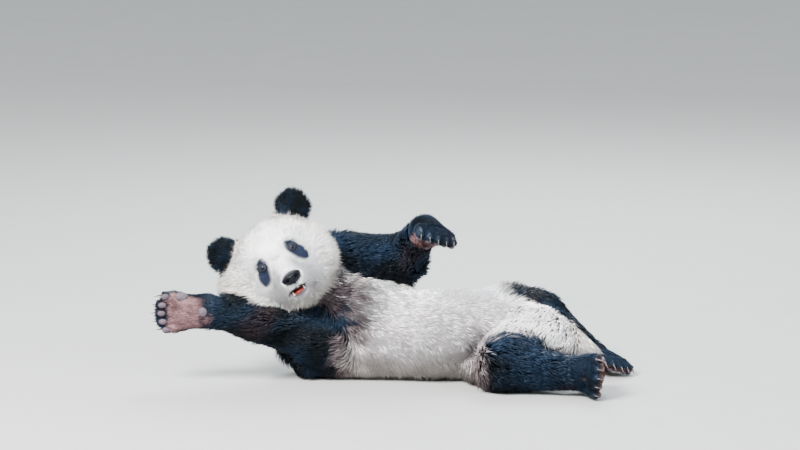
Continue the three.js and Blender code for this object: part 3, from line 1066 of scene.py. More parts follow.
    def colours(self, points: Array, parts: Array, shares: Array, palms: Array) -> Array:
        """Colours every place of the body.

        Args:
            points: Places in the model's metres.
            parts: Each place's part, by number.
            shares: How much of each part every place is, one column per part.
            palms: How far into a palm or sole each place is, from 0 to 1.

        Returns:
            Colours, linear.
        """
        p = self.skeleton.drawn(points)
        h = self.skeleton.head.inward(points)
        out = self.trunk(p)
        hind_right = shares[:, numbers(*LEG_RIGHT)].sum(1)
        hind_left = shares[:, numbers(*LEG_LEFT)].sum(1)
        fringe = self.hind_black(p + np.array([22.0, 0.0, 0.0]), hind_right, hind_left)
        out = mix(out, self.brown, 0.75 * fringe * ramp(waves(p, 9.0, 23), -1.4, 0.3))
        out = mix(out, self.black_coat(p), self.hind_black(p, hind_right, hind_left))
        black_parts = numbers(*ARM_LEFT, *ARM_RIGHT, *PAWS)
        ragged = 0.10 * waves(p, 12.0, 14)
        limbs = shares[:, black_parts].sum(1) + shares[:, [Part.SHIN_LEFT.value]].sum(1)
        upper_right = shares[:, Part.UPPER_ARM_RIGHT.value] > 0.3
        kept = np.where(upper_right, ramp(self.behind_chest(p)[0], 14.0, -12.0), 1.0)
        out = mix(out, self.black_coat(p), ramp(limbs + ragged, 0.40, 0.60) * kept)
        out = mix(out, self.head(p, h), ramp(shares[:, Part.HEAD.value] + ragged, 0.40, 0.60))
        ears = shares[:, numbers(*EARS)].sum(1)
        # Painted blue sheen in soft random patches on the ears.
        ear_black = mix(self.black, self.blue_black, 0.45 * ramp(waves(p, 20.0, 25), -0.8, 1.2))
        out = mix(out, ear_black, ramp(ears + ragged, 0.42, 0.58))
        fore = np.isin(parts, numbers(*FOREPAWS))
        palm = np.where(fore[:, None], self.tan, self.sole_brown)
        palm = palm * (1.0 + 0.25 * waves(p, 9.0, 15))[:, None]
        hind = shares[:, numbers(*HIND_PAWS)].sum(1)
        on_paw = np.where(fore, 1.0, ramp(hind, 0.25, 0.5))
        return mix(out, palm, palms * on_paw)


# ------------------------------------------------------------------------------ the skin


@dataclass
class Skin:
    """The one skin of the whole body, shaped inside the solids by the depth of the coat."""

    skeleton: Skeleton
    markings: Markings
    outer_voxel: float = 6.0
    skin_voxel: float = 6.6
    depths: dict[Part, float] = field(default_factory=lambda: {
        Part.TRUNK: 22.0, Part.NECK: 24.0, Part.HEAD: 20.0, Part.TAIL: 20.0,
        Part.EAR_LEFT: 6.5, Part.EAR_RIGHT: 6.5,
        Part.UPPER_ARM_LEFT: 19.0, Part.UPPER_ARM_RIGHT: 19.0,
        Part.FOREARM_LEFT: 16.0, Part.FOREARM_RIGHT: 16.0,
        Part.THIGH_LEFT: 20.0, Part.THIGH_RIGHT: 20.0,
        Part.SHIN_LEFT: 16.0, Part.SHIN_RIGHT: 16.0,
        Part.FOREPAW_LEFT: 5.0, Part.FOREPAW_RIGHT: 5.0,
        Part.HIND_PAW_LEFT: 5.0, Part.HIND_PAW_RIGHT: 5.0,
    })
    lid_opening: tuple[float, float] = (8.8, 6.6)
    mouth_half: float = 43.0
    mouth_open: tuple[float, float, float] = (3.0, 25.0, 19.0)  # middle, half-width, height
    surface: Surface = field(init=False)
    parts: Array = field(init=False)
    shares: Array = field(init=False)
    depth: Array = field(init=False)
    palms: Array = field(init=False)
    bare: Array = field(init=False)

    def nodes_of_flesh(self) -> list[str]:
        """Returns the names of the solids that the skin stands for."""
        return [part.node for part in Part]

    def joined_solids(self) -> bpy.types.Object:
        """Returns copies of the solids of flesh in one object, the mouth filled in."""
        bm = bmesh.new()
        for name in self.nodes_of_flesh():
            bm.from_mesh(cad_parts[name].data)
        bmesh.ops.remove_doubles(bm, verts=bm.verts[:], dist=1e-5)
        tongue = node_points("tongue")
        middle = self.skeleton.head.inward(tongue).mean(0) + np.array([0.0, 6.0, 4.0])
        filler = bmesh.ops.create_icosphere(bm, subdivisions=4, radius=1.0)["verts"]
        shape = self.skeleton.head.matrix() @ Matrix.Translation(Vector(middle))
        bmesh.ops.transform(bm, matrix=shape @ Matrix.Diagonal((27, 26, 10, 1)), verts=filler)
        return object_of_bmesh("joined_solids", bm)

    def label(self, surface: Surface) -> tuple[Array, Array]:
        """Tells the parts of the body apart on a surface.

        Args:
            surface: A surface near the solids'.

        Returns:
            Each point's part by number, and soft shares of all parts.
        """
        points, triangles, owners = [], [], []
        count = 0
        for part in Part:
            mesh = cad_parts[part.node].data
            own, corners = mesh_points(mesh), mesh_corners(mesh)
            points.append(own)
            triangles.append(corners + count)
            owners.append(np.full(len(corners), part.value))
            count += len(own)
        tree = BVHTree.FromPolygons(
            np.concatenate(points).tolist(), np.concatenate(triangles).tolist())
        found, _ = nearest(tree, surface.points)
        parts = np.concatenate(owners)[found]
        shares = np.eye(len(Part))[parts]
        return parts, surface.soothe(shares, 6)

    def head_depth(self, h: Array) -> Array:
        """Returns the coat's depth on the head, at places of the head's frame."""
        away = np.linalg.norm(h - np.array([0.0, 122.0, -18.0]), axis=1)
        depth = 4.0 + 6.0 * ramp(away, 50.0, 110.0) + 13.0 * ramp(away, 105.0, 190.0)
        return mix_number(depth, np.minimum(depth, 15.0), ramp(h[:, 2], 0.0, 80.0))

    def coat_depth(self, surface: Surface, parts: Array) -> Array:
        """Returns how deep under a surface the skin lies, in millimetres."""
        values = np.array([self.depths[part] for part in Part])[parts]
        h = self.skeleton.head.inward(surface.points)
        values = np.where(parts == Part.HEAD.value, self.head_depth(h), values)
        z = surface.points[:, 2] / MM
        resting = ramp(z, 55.0, 4.0) * ramp(surface.normals()[:, 2], 0.2, -0.7)
        values = mix_number(values, np.minimum(values, 5.0), resting)
        return surface.soothe(values, 8)

    def build(self) -> bpy.types.Object:
        """Builds the skin and everything the coat needs to know about it.

        Returns:
            The skin's object.
        """
        outer = fuse(self.joined_solids(), self.outer_voxel * MM)
        parts, _ = self.label(outer)
        fine = np.isin(parts, numbers(*PAWS, *EARS))
        pace = surface_pace(outer, fine)
        outer.points = outer.soothe(outer.points, 10, pace)
        outer.points[:, 2] = np.maximum(outer.points[:, 2], 0.0)
        depth = self.coat_depth(outer, parts) * MM
        normals = unit(outer.soothe(outer.normals(), 5))
        inner = Surface(outer.points - normals * depth[:, None], outer.triangles)
        skin = fuse(inner.to_object("inner_shell"), self.skin_voxel * MM)
        skin.points = skin.soothe(skin.points, 4, 0.5)
        skin = self.refined(skin)
        self.sculpt(skin)
        self.surface = skin
        self.parts, self.shares = self.label(skin)
        _, gaps = nearest(outer.tree(), skin.points)
        self.depth = skin.soothe(gaps / MM, 3)
        toes = self.near_toes(skin.points, 84.0)
        self.depth = np.where(toes, np.minimum(self.depth, 5.5), self.depth)
        self.palms = self.palm_share(skin)
        piece = skin.to_object("skin")
        finish = CoatFinish("panda_skin", variation=0.3, rough_dark=0.5, rough_pale=0.8, relief=0.6)
        piece.data.materials.append(finish.material())
        colours = self.markings.colours(skin.points, self.parts, self.shares, self.palms)
        paint(piece.data, self.bare_tints(skin, colours * 0.82))
        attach(piece, "root")
        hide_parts(*self.nodes_of_flesh())
        return piece

    def refined(self, skin: Surface) -> Surface:
        """Divides the mesh of the face, the lids and the mouth more finely."""
        bm = bmesh.new()
        mesh = mesh_of_arrays("refined", skin.points, skin.triangles)
        bm.from_mesh(mesh)
        bpy.data.meshes.remove(mesh)
        for chosen in (self.near_face, self.near_features, self.near_edges):
            points = np.array([v.co for v in bm.verts])
            inside = chosen(points)
            bm.edges.ensure_lookup_table()
            edges = [e for e in bm.edges if inside[e.verts[0].index] and inside[e.verts[1].index]]
            bmesh.ops.subdivide_edges(bm, edges=edges, cuts=1, smooth=0.5, use_grid_fill=True)
            bmesh.ops.triangulate(bm, faces=bm.faces[:], quad_method="SHORT_EDGE")
            bm.verts.index_update()
        out = Surface.of_bmesh(bm)
        bm.free()
        return out

    def near_face(self, points: Array) -> Array:
        """Tells which points lie on the face."""
        h = self.skeleton.head.inward(points)
        face = (h[:, 1] > 50.0) & (np.abs(h[:, 0]) < 92.0) & (h[:, 2] > -125.0) & (h[:, 2] < 62.0)
        return face | self.near_toes(points, 62.0)

    def near_toes(self, points: Array, start: float) -> Array:
        """Tells which points lie around any paw's toes, from a distance along the paw on."""
        near = np.zeros(len(points), bool)
        for part in PAWS:
            q = self.skeleton.paw(part).inward(points)
            near |= self.skeleton.paw_shape.around_toes(q, start)
        return near

    def near_features(self, points: Array) -> Array:
        """Tells which points lie around the eyes or the mouth."""
        h = self.skeleton.head.inward(points)
        mouth = (h[:, 1] > 80.0) & (np.abs(h[:, 0]) < 50.0) & (np.abs(h[:, 2] + 82.0) < 20.0)
        return mouth | (self.eye_reach(points) < 21.0)

    def near_edges(self, points: Array) -> Array:
        """Tells which points lie along the lids' edges or the lips."""
        h = self.skeleton.head.inward(points)
        mouth = (h[:, 1] > 90.0) & (np.abs(h[:, 0]) < 47.0) & (np.abs(h[:, 2] + 82.0) < 13.0)
        return mouth | (self.eye_reach(points) < 12.0)

    def eye_reach(self, points: Array) -> Array:
        """Returns each point's distance from the nearer eye's axis, in millimetres."""
        reach = np.full(len(points), FAR)
        for side in (1, -1):
            e = self.skeleton.eye(side).inward(points)
            reach = np.minimum(reach, np.where(e[:, 1] > -14.0, np.hypot(e[:, 0], e[:, 2]), FAR))
        return reach

    def sculpt(self, skin: Surface) -> None:
        """Shapes the toes, the lids, the lips and the folds of the face."""
        for part in PAWS:
            self.shape_toes(skin, part)
        self.shape_mouth(skin)
        for side in (1, -1):
            self.shape_lids(skin, side)

    def shape_toes(self, skin: Surface, part: Part) -> None:
        """Draws the skin of one paw close round its five toes.

        Args:
            skin: The skin, whose points are moved.
            part: The paw.
        """
        place, shape = self.skeleton.paw(part), self.skeleton.paw_shape
        q = place.inward(skin.points)
        near = shape.around_toes(q, 62.0)
        toes = q[near]
        step = 0.5
        for _ in range(6):
            gap = shape.gap(toes)
            slope = np.stack([shape.gap(toes + step * axis) - gap for axis in np.eye(3)], 1)
            pace = ramp(toes[:, 1], 64.0, 92.0) * ramp(np.abs(gap), 18.0, 9.0)
            toes = toes - (0.6 * pace * gap)[:, None] * unit(slope)
        skin.points[near] = place.outward(toes)
        skin.points[:, 2] = np.maximum(skin.points[:, 2], 0.5 * MM)

    def shape_lids(self, skin: Surface, side: int) -> None:
        """Draws the skin over one eyeball and opens it.

        Args:
            skin: The skin, whose points are moved.
            side: 1 for the right eye, -1 for the left.
        """
        eye = self.skeleton.eye(side)
        radius = self.skeleton.eye_radius
        e = eye.inward(skin.points)
        rho = np.hypot(e[:, 0], e[:, 2])
        near = (rho < 25.0) & (e[:, 1] > -15.0)
        u, v, w = e[near].T
        rho = rho[near]
        tilt = math.radians(24.0) * side
        along = u * math.cos(tilt) - w * math.sin(tilt)
        across = u * math.sin(tilt) + w * math.cos(tilt)
        rr = np.sqrt((along / self.lid_opening[0]) ** 2 + (across / self.lid_opening[1]) ** 2)
        snap = np.where((rr > 0.90) & (rr < 1.10), 1.0 / np.maximum(rr, 0.1), 1.0)
        u, w, rho = u * snap, w * snap, rho * snap
        rr = rr * snap
        lid = radius + 1.3 + 1.2 * np.exp(-(((rr - 1.15) / 0.2) ** 2))
        over = lid * np.cos(np.minimum(rho / lid, 1.4))
        crease = 1.1 * np.exp(-(((rho - 14.5) / 1.8) ** 2))
        shaped = mix_number(over, v, ramp(rho, 11.5, 24.0)) - crease
        sunk = np.sqrt(np.maximum(radius**2 - rho**2, 0.0)) - 2.5
        e[near] = np.stack([u, np.where(rr < 0.999, sunk, shaped), w], 1)
        skin.points[near] = eye.outward(e[near])

    def lip_lines(self, x: Array) -> tuple[Array, Array]:
        """Returns the heights of both lips' edges, upper first, at each x of the head's frame."""
        middle, half, gap = self.mouth_open
        upper = -73.5 - 0.0046 * x**2
        opened = gap * np.maximum(1.0 - ((x - middle) / half) ** 2, 0.0) ** 0.6
        return upper, upper - opened - 0.6

    def shape_mouth(self, skin: Surface) -> None:
        """Opens the mouth and shapes the lips and the groove under the nose.

        Args:
            skin: The skin, whose points are moved.
        """
        head = self.skeleton.head
        h = head.inward(skin.points)
        near = (h[:, 1] > 70.0) & (np.abs(h[:, 0]) < 60.0) & (h[:, 2] > -125.0) & (h[:, 2] < -50.0)
        x, y, z = h[near].T
        upper, lower = self.lip_lines(x)
        wide = ramp(np.abs(x), self.mouth_half + 2.0, self.mouth_half - 6.0)
        inside = np.clip((z - lower) / np.maximum(upper - lower, 0.5), 0.0, 1.0)
        opened = (upper - lower) > 2.0
        pocket = np.where(opened & (inside > 0.0) & (inside < 1.0), 1.0, 0.0)
        depth = 24.0 * pocket * np.minimum(1.0, 3.5 * np.minimum(inside, 1.0 - inside) + 0.35)
        line = 3.2 * wide * np.exp(-(((z - (upper + lower) / 2.0) / 1.6) ** 2)) * (~opened)
        lip = 2.6 * wide * np.exp(-(((z - lower + 5.0) / 4.0) ** 2))
        fold = 1.4 * wide * np.exp(-(((z - upper - 3.5) / 3.0) ** 2))
        groove = 1.6 * np.exp(-((x / 1.8) ** 2)) * ramp(z, -78.0, -72.0) * ramp(z, -52.0, -58.0)
        h[near, 1] = y - depth - line + lip + fold - groove
        skin.points[near] = head.outward(h[near])

    def palm_share(self, skin: Surface) -> Array:
        """Returns how far into a palm or a sole each point lies, from 0 to 1."""
        share = np.zeros(len(skin.points))
        normals = skin.soothe(skin.normals(), 3)
        for part in PAWS:
            place = self.skeleton.paw(part)
            q = place.inward(skin.points)
            facing = normals @ place.axes[2]
            arm = Part(part.value - 1)
            here = shares_of(self.shares, part) + shares_of(self.shares, arm) > 0.3
            fore = part in FOREPAWS
            q = q + 4.0 * np.stack([waves(q, 12.0, 17 + k) for k in range(3)], 1)
            span = ramp(q[:, 1], -8.0, 22.0) * ramp(q[:, 1], 97.0, 84.0) if fore else 1.0
            value = ramp(facing + 0.12 * waves(q, 9.0, 16), -0.30, -0.7) * span
            if fore:
                strands = np.exp(-(((q[:, 0] - 12.0) / 11.0) ** 2) - ((q[:, 1] + 14.0) / 15.0) ** 2)
                value = np.maximum(value, 0.8 * strands * (facing < -0.2))
            share = np.maximum(share, np.where(here, value, 0.0))
        return share

    def bare_tints(self, skin: Surface, colours: Array) -> Array:
        """Colours the hairless skin of lids, lips and mouth, and records where it is.

        Args:
            skin: The shaped skin.
            colours: The colours so far.

        Returns:
            The colours with the bare places added.
        """
        h = self.skeleton.head.inward(skin.points)
        x, y, z = h.T
        upper, lower = self.lip_lines(x)
        front = (y > 80.0) & (np.abs(x) < self.mouth_half + 4.0)
        middle, half, _ = self.mouth_open
        mouth = front & (z < upper - 0.2) & (z > lower + 0.2) & (upper - lower > 2.0)
        rim = front * np.exp(-(((z - upper) / 1.8) ** 2))
        rim = rim * ramp(np.abs(x), self.mouth_half, self.mouth_half - 5)
        lip = front * ramp(z, lower - 11.0, lower - 7.0) * ramp(z, lower + 1.0, lower)
        lip = lip * ramp(np.abs(x - 8.0), 38.0, 26.0)
        out = mix(colours, (0.10, 0.068, 0.084), 0.9 * lip)
        out = mix(out, (0.03, 0.025, 0.03), np.clip(rim, 0.0, 1.0))
        out = mix(out, (0.045, 0.008, 0.007), mouth.astype(float))
        reach = self.eye_reach(skin.points)
        out = mix(out, (0.012, 0.012, 0.016), ramp(reach, 14.0, 11.5))
        muzzle = (h[:, [0, 2]] - np.array([0.0, -46.0])) / np.array([31.0, 19.0])
        nose = ramp(np.linalg.norm(muzzle, axis=1), 1.05, 0.9) * (y > 100.0)
        out = mix(out, (0.02, 0.02, 0.025), nose)
        above = front * ramp(z, upper + 5.0, upper + 2.0) * ramp(z, lower - 2.0, lower)
        above = above * ramp(np.abs(x - middle), half + 12.0, half)
        bare = lip * 1.2 + 1.5 * rim + mouth + ramp(reach, 12.5, 11.0) + nose + above
        padded = self.pad_share(skin)
        self.bare = np.clip(bare + padded, 0.0, 1.0)
        return mix(out, (0.045, 0.032, 0.036), padded)

    def pad_share(self, skin: Surface) -> Array:
        """Returns how far under a pad each point lies, from 0 to 1."""
        share = np.zeros(len(skin.points))
        for part in PAWS:
            place = self.skeleton.paw(part)
            q = place.inward(skin.points)
            facing = skin.normals() @ place.axes[2]
            under = (facing < 0.1) & (np.abs(q[:, 2]) < 50.0)
            fore = part in FOREPAWS
            for x, y, wide, deep, _ in self.skeleton.paw_shape.pads(fore):
                off = np.hypot((q[:, 0] - x) / wide, (q[:, 1] - y) / deep)
                share = np.maximum(share, ramp(off, 1.05, 0.85) * under)
        return share


def mix_number(first: Array | float, second: Array | float, share: Array) -> Array:
    """Returns numbers that run from first to second by their share."""
    return np.asarray(first, float) * (1.0 - share) + np.asarray(second, float) * share


def shares_of(shares: Array, part: Part) -> Array:
    """Returns one part's column of the shares."""
    return shares[:, part.value]


def surface_pace(surface: Surface, fine: Array) -> Array:
    """Returns how fast each point may be smoothed: slower where the shape is fine."""
    return 0.5 - 0.42 * surface.soothe(fine.astype(float), 4)


def node_points(name: str) -> Array:
    """Returns the points of a CAD node, in metres."""
    return mesh_points(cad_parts[name].data).astype(float)


# ------------------------------------------------------------------------------ the coat


class Tuft(Enum):
    """How a tuft is built: a short straight spike, or a long one bent at its middle."""

    SHORT = "short"
    LONG = "long"


@dataclass(frozen=True)
class CoatArea:
    """One piece of the coat and the look of its hair.

    Attributes:
        name: The piece's name.
        slot: The name of a material slot; not used.
        chosen: Tells which skin points belong to it.
        count: How many tufts it has.
        tuft: How they are built.
        width: A tuft's width at its root, in millimetres.
        lift: How steeply hair leaves the skin, in degrees.
        rest: How steeply its tip ends, in degrees.
        clump: The size of its locks, in millimetres.
        pull: How strongly tips gather into locks.
        longest: The longest hair, in millimetres.
        messy: How far hairs stray from their neighbours' lie, in radians.
        reach: How far hair goes, relative to the depth of the coat.
        dim: How dim the dimmest pale hairs are.
    """

    name: str
    slot: str
    chosen: Callable[[Coat], Array]
    count: int
    tuft: Tuft = Tuft.LONG
    width: float = 3.1
    lift: float = 36.0
    rest: float = 16.0
    clump: float = 17.0
    pull: float = 0.5
    longest: float = 58.0
    messy: float = 0.22
    reach: float = 1.0
    dim: float = 0.76


@dataclass
class Coat:
    """All the hair of the panda, as solid tufts that follow the lie of the coat."""

    skeleton: Skeleton
    markings: Markings
    skin: Skin
    normals: Array = field(init=False)
    lie: Array = field(init=False)
    stand: Array = field(init=False)
    drawn: Array = field(init=False)
    head_places: Array = field(init=False)

    def __post_init__(self) -> None:
        """Works out the lie of the coat over the whole skin."""
        surface = self.skin.surface
        self.normals = unit(surface.soothe(surface.normals(), 3))
        self.drawn = self.skeleton.drawn(surface.points)
        self.head_places = self.skeleton.head.inward(surface.points)
        self.lie = self.lie_of_hair()

    def lie_of_hair(self) -> Array:
        """Returns the direction in which hair lies at each skin point, along the skin."""
        surface = self.skin.surface
        points = surface.points
        shares = self.skin.shares
        flow = np.zeros_like(points)
        sag = np.array([0.0, 0.0, -1.0])
        trunk = np.array([1.0, 0.0, 0.0]) + 0.45 * sag
        flow += (shares_of(shares, Part.TRUNK) + shares_of(shares, Part.NECK))[:, None] * trunk
        head = self.skeleton.head
        h = self.head_places
        from_nose = unit(h - np.array([0.0, 175.0, -42.0])) + np.array([0.0, -0.35, 0.0])
        flow += shares_of(shares, Part.HEAD)[:, None] * head.turned(from_nose)
        for side, part in ((1, Part.EAR_RIGHT), (-1, Part.EAR_LEFT)):
            root = head.outward([side * self.skeleton.ear_spread * 0.78, -10.0,
                                 self.skeleton.ear_height * 0.78])
            flow += shares_of(shares, part)[:, None] * unit(points - root)
        for part, (start, end) in self.skeleton.stretches().items():
            along = unit(end - start)
            flow += shares_of(shares, part)[:, None] * (along + 0.15 * sag)
        for part in PAWS:
            flow += shares_of(shares, part)[:, None] * self.skeleton.paw(part).turned([0, 1, 0])
        flow = unit(surface.soothe(flow, 14))
        out = (flow * self.normals).sum(1, keepdims=True)
        keep = 0.45 + 0.5 * shares[:, numbers(*EARS)].sum(1)
        self.stand = np.arcsin(np.clip(out[:, 0], 0.0, 0.95)) * keep
        return unit(flow - self.normals * out)

    def of_parts(self, *parts: Part) -> Array:
        """Tells which skin points belong to any of the parts."""
        return np.isin(self.skin.parts, numbers(*parts))

    def from_muzzle(self) -> Array:
        """Returns each skin point's distance from the middle of the face, with a ragged edge."""
        h = self.head_places
        return np.linalg.norm(h - np.array([0.0, 118.0, -15.0]), axis=1) + 10.0 * waves(h, 8.0, 24)

    def face(self) -> Array:
        """Tells which skin points carry the short hair of the face."""
        front = self.head_places[:, 1] > 20.0
        return self.of_parts(Part.HEAD) & (self.from_muzzle() < 96.0) & front

    def cheeks(self) -> Array:
        """Tells which skin points lie round the face, on forehead, cheeks and jaw."""
        front = self.head_places[:, 1] > -12.0 + 8.0 * waves(self.head_places, 10.0, 26)
        return self.of_parts(Part.HEAD) & ~self.face() & front

    def belly(self) -> Array:
        """Tells which skin points belong to the trunk's front."""
        return self.of_parts(Part.TRUNK, Part.NECK) & (self.drawn[:, 1] < 45.0)

    def areas(self) -> list[CoatArea]:
        """Returns every area of the coat."""
        return [
            CoatArea("coat_face", "white_coat", Coat.face, 42000, Tuft.SHORT, width=1.45,
                     lift=28.0, rest=28.0, clump=6.0, pull=0.30, longest=30.0, messy=0.14),
            CoatArea("coat_cheeks", "white_coat", Coat.cheeks, 15500, width=1.8, lift=31.0,
                     rest=22.0, clump=9.0, pull=0.40, longest=52.0, messy=0.24, reach=1.08,
                     dim=0.62),
            CoatArea("coat_head", "white_coat",
                     lambda c: c.of_parts(Part.HEAD) & ~c.face() & ~c.cheeks(),
                     9500, width=2.6, lift=33.0, rest=22.0, clump=12.0, pull=0.4,
                     longest=50.0, messy=0.2, reach=1.05, dim=0.68),
            CoatArea("coat_ears", "black_coat", lambda c: c.of_parts(*EARS), 7500,
                     width=1.6, lift=42.0, rest=34.0, clump=7.0, pull=0.30, longest=38.0,
                     messy=0.34, reach=1.4),
            CoatArea("coat_belly_front", "belly_coat", lambda c: c.belly() & (c.drawn[:, 0] < 20.0),
                     17000, width=2.7, lift=31.0, clump=13.0, pull=0.32, dim=0.66),
            CoatArea("coat_belly_rear", "belly_coat", lambda c: c.belly() & (c.drawn[:, 0] >= 20.0),
                     17000, width=2.7, lift=31.0, clump=13.0, pull=0.32, dim=0.66),
            CoatArea("coat_back", "belly_coat",
                     lambda c: c.of_parts(Part.TRUNK, Part.NECK) & ~c.belly(), 10500,
                     width=4.2),
            CoatArea("coat_tail", "white_coat", lambda c: c.of_parts(Part.TAIL), 2200),
            CoatArea("coat_arm_left", "black_coat", lambda c: c.of_parts(*ARM_LEFT), 11000,
                     width=2.8, lift=32.0, clump=14.0, longest=46.0),
            CoatArea("coat_arm_right", "black_coat", lambda c: c.of_parts(*ARM_RIGHT), 11000,
                     width=2.8, lift=30.0, clump=14.0, longest=46.0),
            CoatArea("coat_leg_left", "black_coat", lambda c: c.of_parts(*LEG_LEFT), 9000,
                     width=3.1, lift=34.0, longest=50.0),
            CoatArea("coat_leg_right", "black_coat", lambda c: c.of_parts(*LEG_RIGHT), 11000,
                     width=3.0, lift=32.0, longest=50.0),
            CoatArea("coat_forepaws", "black_coat",
                     lambda c: c.of_parts(*FOREPAWS), 19000, Tuft.SHORT, width=1.8,
                     lift=22.0, rest=22.0, clump=6.0, pull=0.3, longest=15.0),
            CoatArea("coat_hind_paws", "black_coat",
                     lambda c: c.of_parts(*HIND_PAWS), 14500, Tuft.SHORT, width=1.9,
                     lift=22.0, rest=22.0, clump=6.0, pull=0.3, longest=15.0),
        ]

    def build(self) -> list[bpy.types.Object]:
        """Builds every piece of the coat."""
        finish = CoatFinish("panda_coat").material()
        return [self.grow(area, index, finish) for index, area in enumerate(self.areas())]

    def grow(self, area: CoatArea, index: int, finish: bpy.types.Material) -> bpy.types.Object:
        """Grows one piece of the coat.

        Args:
            area: What it is like.
            index: Its number, which picks its random draws.
            finish: The coat's material.

        Returns:
            The piece.
        """
        surface = self.skin.surface
        rng = np.random.default_rng(SEED + 100 + index)
        chosen = area.chosen(self)
        owned = chosen[surface.triangles].sum(1) >= 2
        numbers = np.flatnonzero(owned)
        triangles = surface.triangles[numbers]
        growing = 1.0 - self.skin.bare[triangles].mean(1)
        weight = surface.areas()[numbers] * growing
        under = ramp(self.normals[triangles][:, :, 2].mean(1), -0.75, -0.9)
        under = under * ramp(surface.points[triangles][:, :, 2].mean(1), 0.035, 0.015)
        weight = weight * (1.0 - 0.7 * under)
        picked, shares = scatter(weight, area.count, rng)
        corners = triangles[picked]

        def at(values: Array) -> Array:
            """Returns a point value at every root."""
            return np.einsum("nk,nk...->n...", shares, values[corners])

        root, normal, lie = at(surface.points), unit(at(self.normals)), unit(at(self.lie))
        place = at(self.drawn)
        depth = np.clip(at(self.skin.depth), 2.0, None)
        wool = self.woolly(place)
        lie = lie + wool[:, None] * np.array([-0.3, 0.0, -0.7])
        lie = unit(unit(lie) + (area.messy * (1.0 + 1.3 * wool))[:, None] * self.stray(place, rng))
        lie = unit(lie - normal * (lie * normal).sum(1, keepdims=True))
        lift = np.radians(area.lift) * (1.0 + 0.12 * waves(place, 22.0, 31))
        lift = lift * rng.uniform(0.75, 1.25, area.count)
        bristling = self.bristling(at(self.head_places))
        ruffled = self.ruffled(place) + bristling
        lift = lift * (1.0 + 0.7 * ruffled)
        stand = at(self.stand)
        lift = np.minimum(np.maximum(lift, stand), 1.35)
        rest = np.radians(area.rest) * rng.uniform(0.6, 1.5, area.count) * (1.0 + 1.2 * ruffled)
        rest = np.minimum(lift, np.maximum(rest, stand))
        rise = (np.sin(lift) + np.sin(rest)) / 2.0
        length = depth / rise * rng.uniform(0.72, 1.08, area.count) * (1.0 + 0.35 * ruffled)
        standing_out = bristling * rng.uniform(0.0, 1.0, area.count) ** 2
        length = length * area.reach * (1.0 + 0.9 * standing_out)
        length = np.clip(length, 3.0, area.longest) * MM
        middle = root + (length * 0.5)[:, None] * (
            np.cos(lift)[:, None] * lie + np.sin(lift)[:, None] * normal)
        tip = middle + (length * 0.5)[:, None] * (
            np.cos(rest)[:, None] * lie + np.sin(rest)[:, None] * normal)
        tip[:, 2] -= 0.06 * length
        gather = self.gathering(place, area.clump) * area.pull * MM
        gather -= normal * (gather * normal).sum(1, keepdims=True)
        middle += 0.45 * gather
        tip += gather
        for points in (middle, tip):
            points[:, 2] = np.maximum(points[:, 2], 0.0006)
        width = area.width * MM * rng.uniform(0.75, 1.25, area.count)
        width = width * np.clip(length / (area.longest * 0.5 * MM), 0.6, 1.2)
        strayed = rng.normal(0.0, 5.5 * MM, area.count)[:, None] * lie

        def tint(places: Array) -> Array:
            """Returns the markings at places above the roots."""
            return self.markings.colours(places, self.skin.parts[corners[:, 0]],
                                         at(self.skin.shares), at(self.skin.palms))

        if area.tuft is Tuft.SHORT:
            colours, ends = tint(root), tint(0.15 * root + 0.85 * tip)
        else:
            colours = ends = tint(0.35 * root + 0.4 * middle + 0.25 * tip + strayed)
        piece = build_tufts(area, (root - normal * 0.8 * MM, middle, tip), normal, width,
                            (colours, ends), rng)
        self.map_tufts(piece, area, triangles, picked, shares)
        piece.data.materials.append(finish)
        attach(piece, "root")
        LOG.info("%s: %d tufts, %d triangles, longest %.0f mm", area.name, area.count,
                 len(piece.data.polygons), length.max() / MM)
        return piece

    def ruffled(self, place: Array) -> Array:
        """Returns how ruffled the coat is, from 0 to 1: most on top of the flank."""
        x, _, z = place.T
        flank = ramp(z, 175.0, 215.0) * ramp(x, 40.0, 150.0) * ramp(x, 430.0, 340.0)
        shoulder = 0.6 * ramp(z, 330.0, 375.0) * ramp(x, 60.0, -20.0) * ramp(x, -330.0, -250.0)
        return flank + shoulder

    @staticmethod
    def bristling(h: Array) -> Array:
        """Returns how far hair stands out round the cheeks and the jaw, from 0 to 1."""
        near = np.linalg.norm(h, axis=1) < 190.0
        side = ramp(np.abs(h[:, 0]), 72.0, 112.0) * ramp(h[:, 2], 70.0, 10.0)
        jaw = ramp(h[:, 2], -88.0, -112.0)
        return 0.9 * near * np.maximum(side, jaw)

    @staticmethod
    def woolly(place: Array) -> Array:
        """Returns how woolly the coat is, from 0 to 1: most low on the belly."""
        x, y, z = place.T
        low = ramp(z + 18.0 * waves(place, 40.0, 60), 130.0, 70.0)
        return low * ramp(y, 30.0, -30.0) * ramp(x, -230.0, -170.0) * ramp(x, 260.0, 200.0)

    @staticmethod
    def stray(place: Array, rng: np.random.Generator) -> Array:
        """Returns a direction that changes softly from place to place, with a little chance."""
        soft = np.stack([waves(place, 26.0, 40 + k) for k in range(3)], 1)
        return soft + 0.45 * rng.normal(size=place.shape)

    @staticmethod
    def gathering(place: Array, size: float) -> Array:
        """Returns the way from each root to the middle of its lock, in millimetres."""
        drift = np.stack([waves(place, size * 1.4, 50 + k) for k in range(3)], 1)
        warped = place + size * 0.35 * drift
        cells = np.floor(warped / size)
        middle = (cells + 0.2 + 0.6 * lots(cells, 5)) * size
        return middle - warped

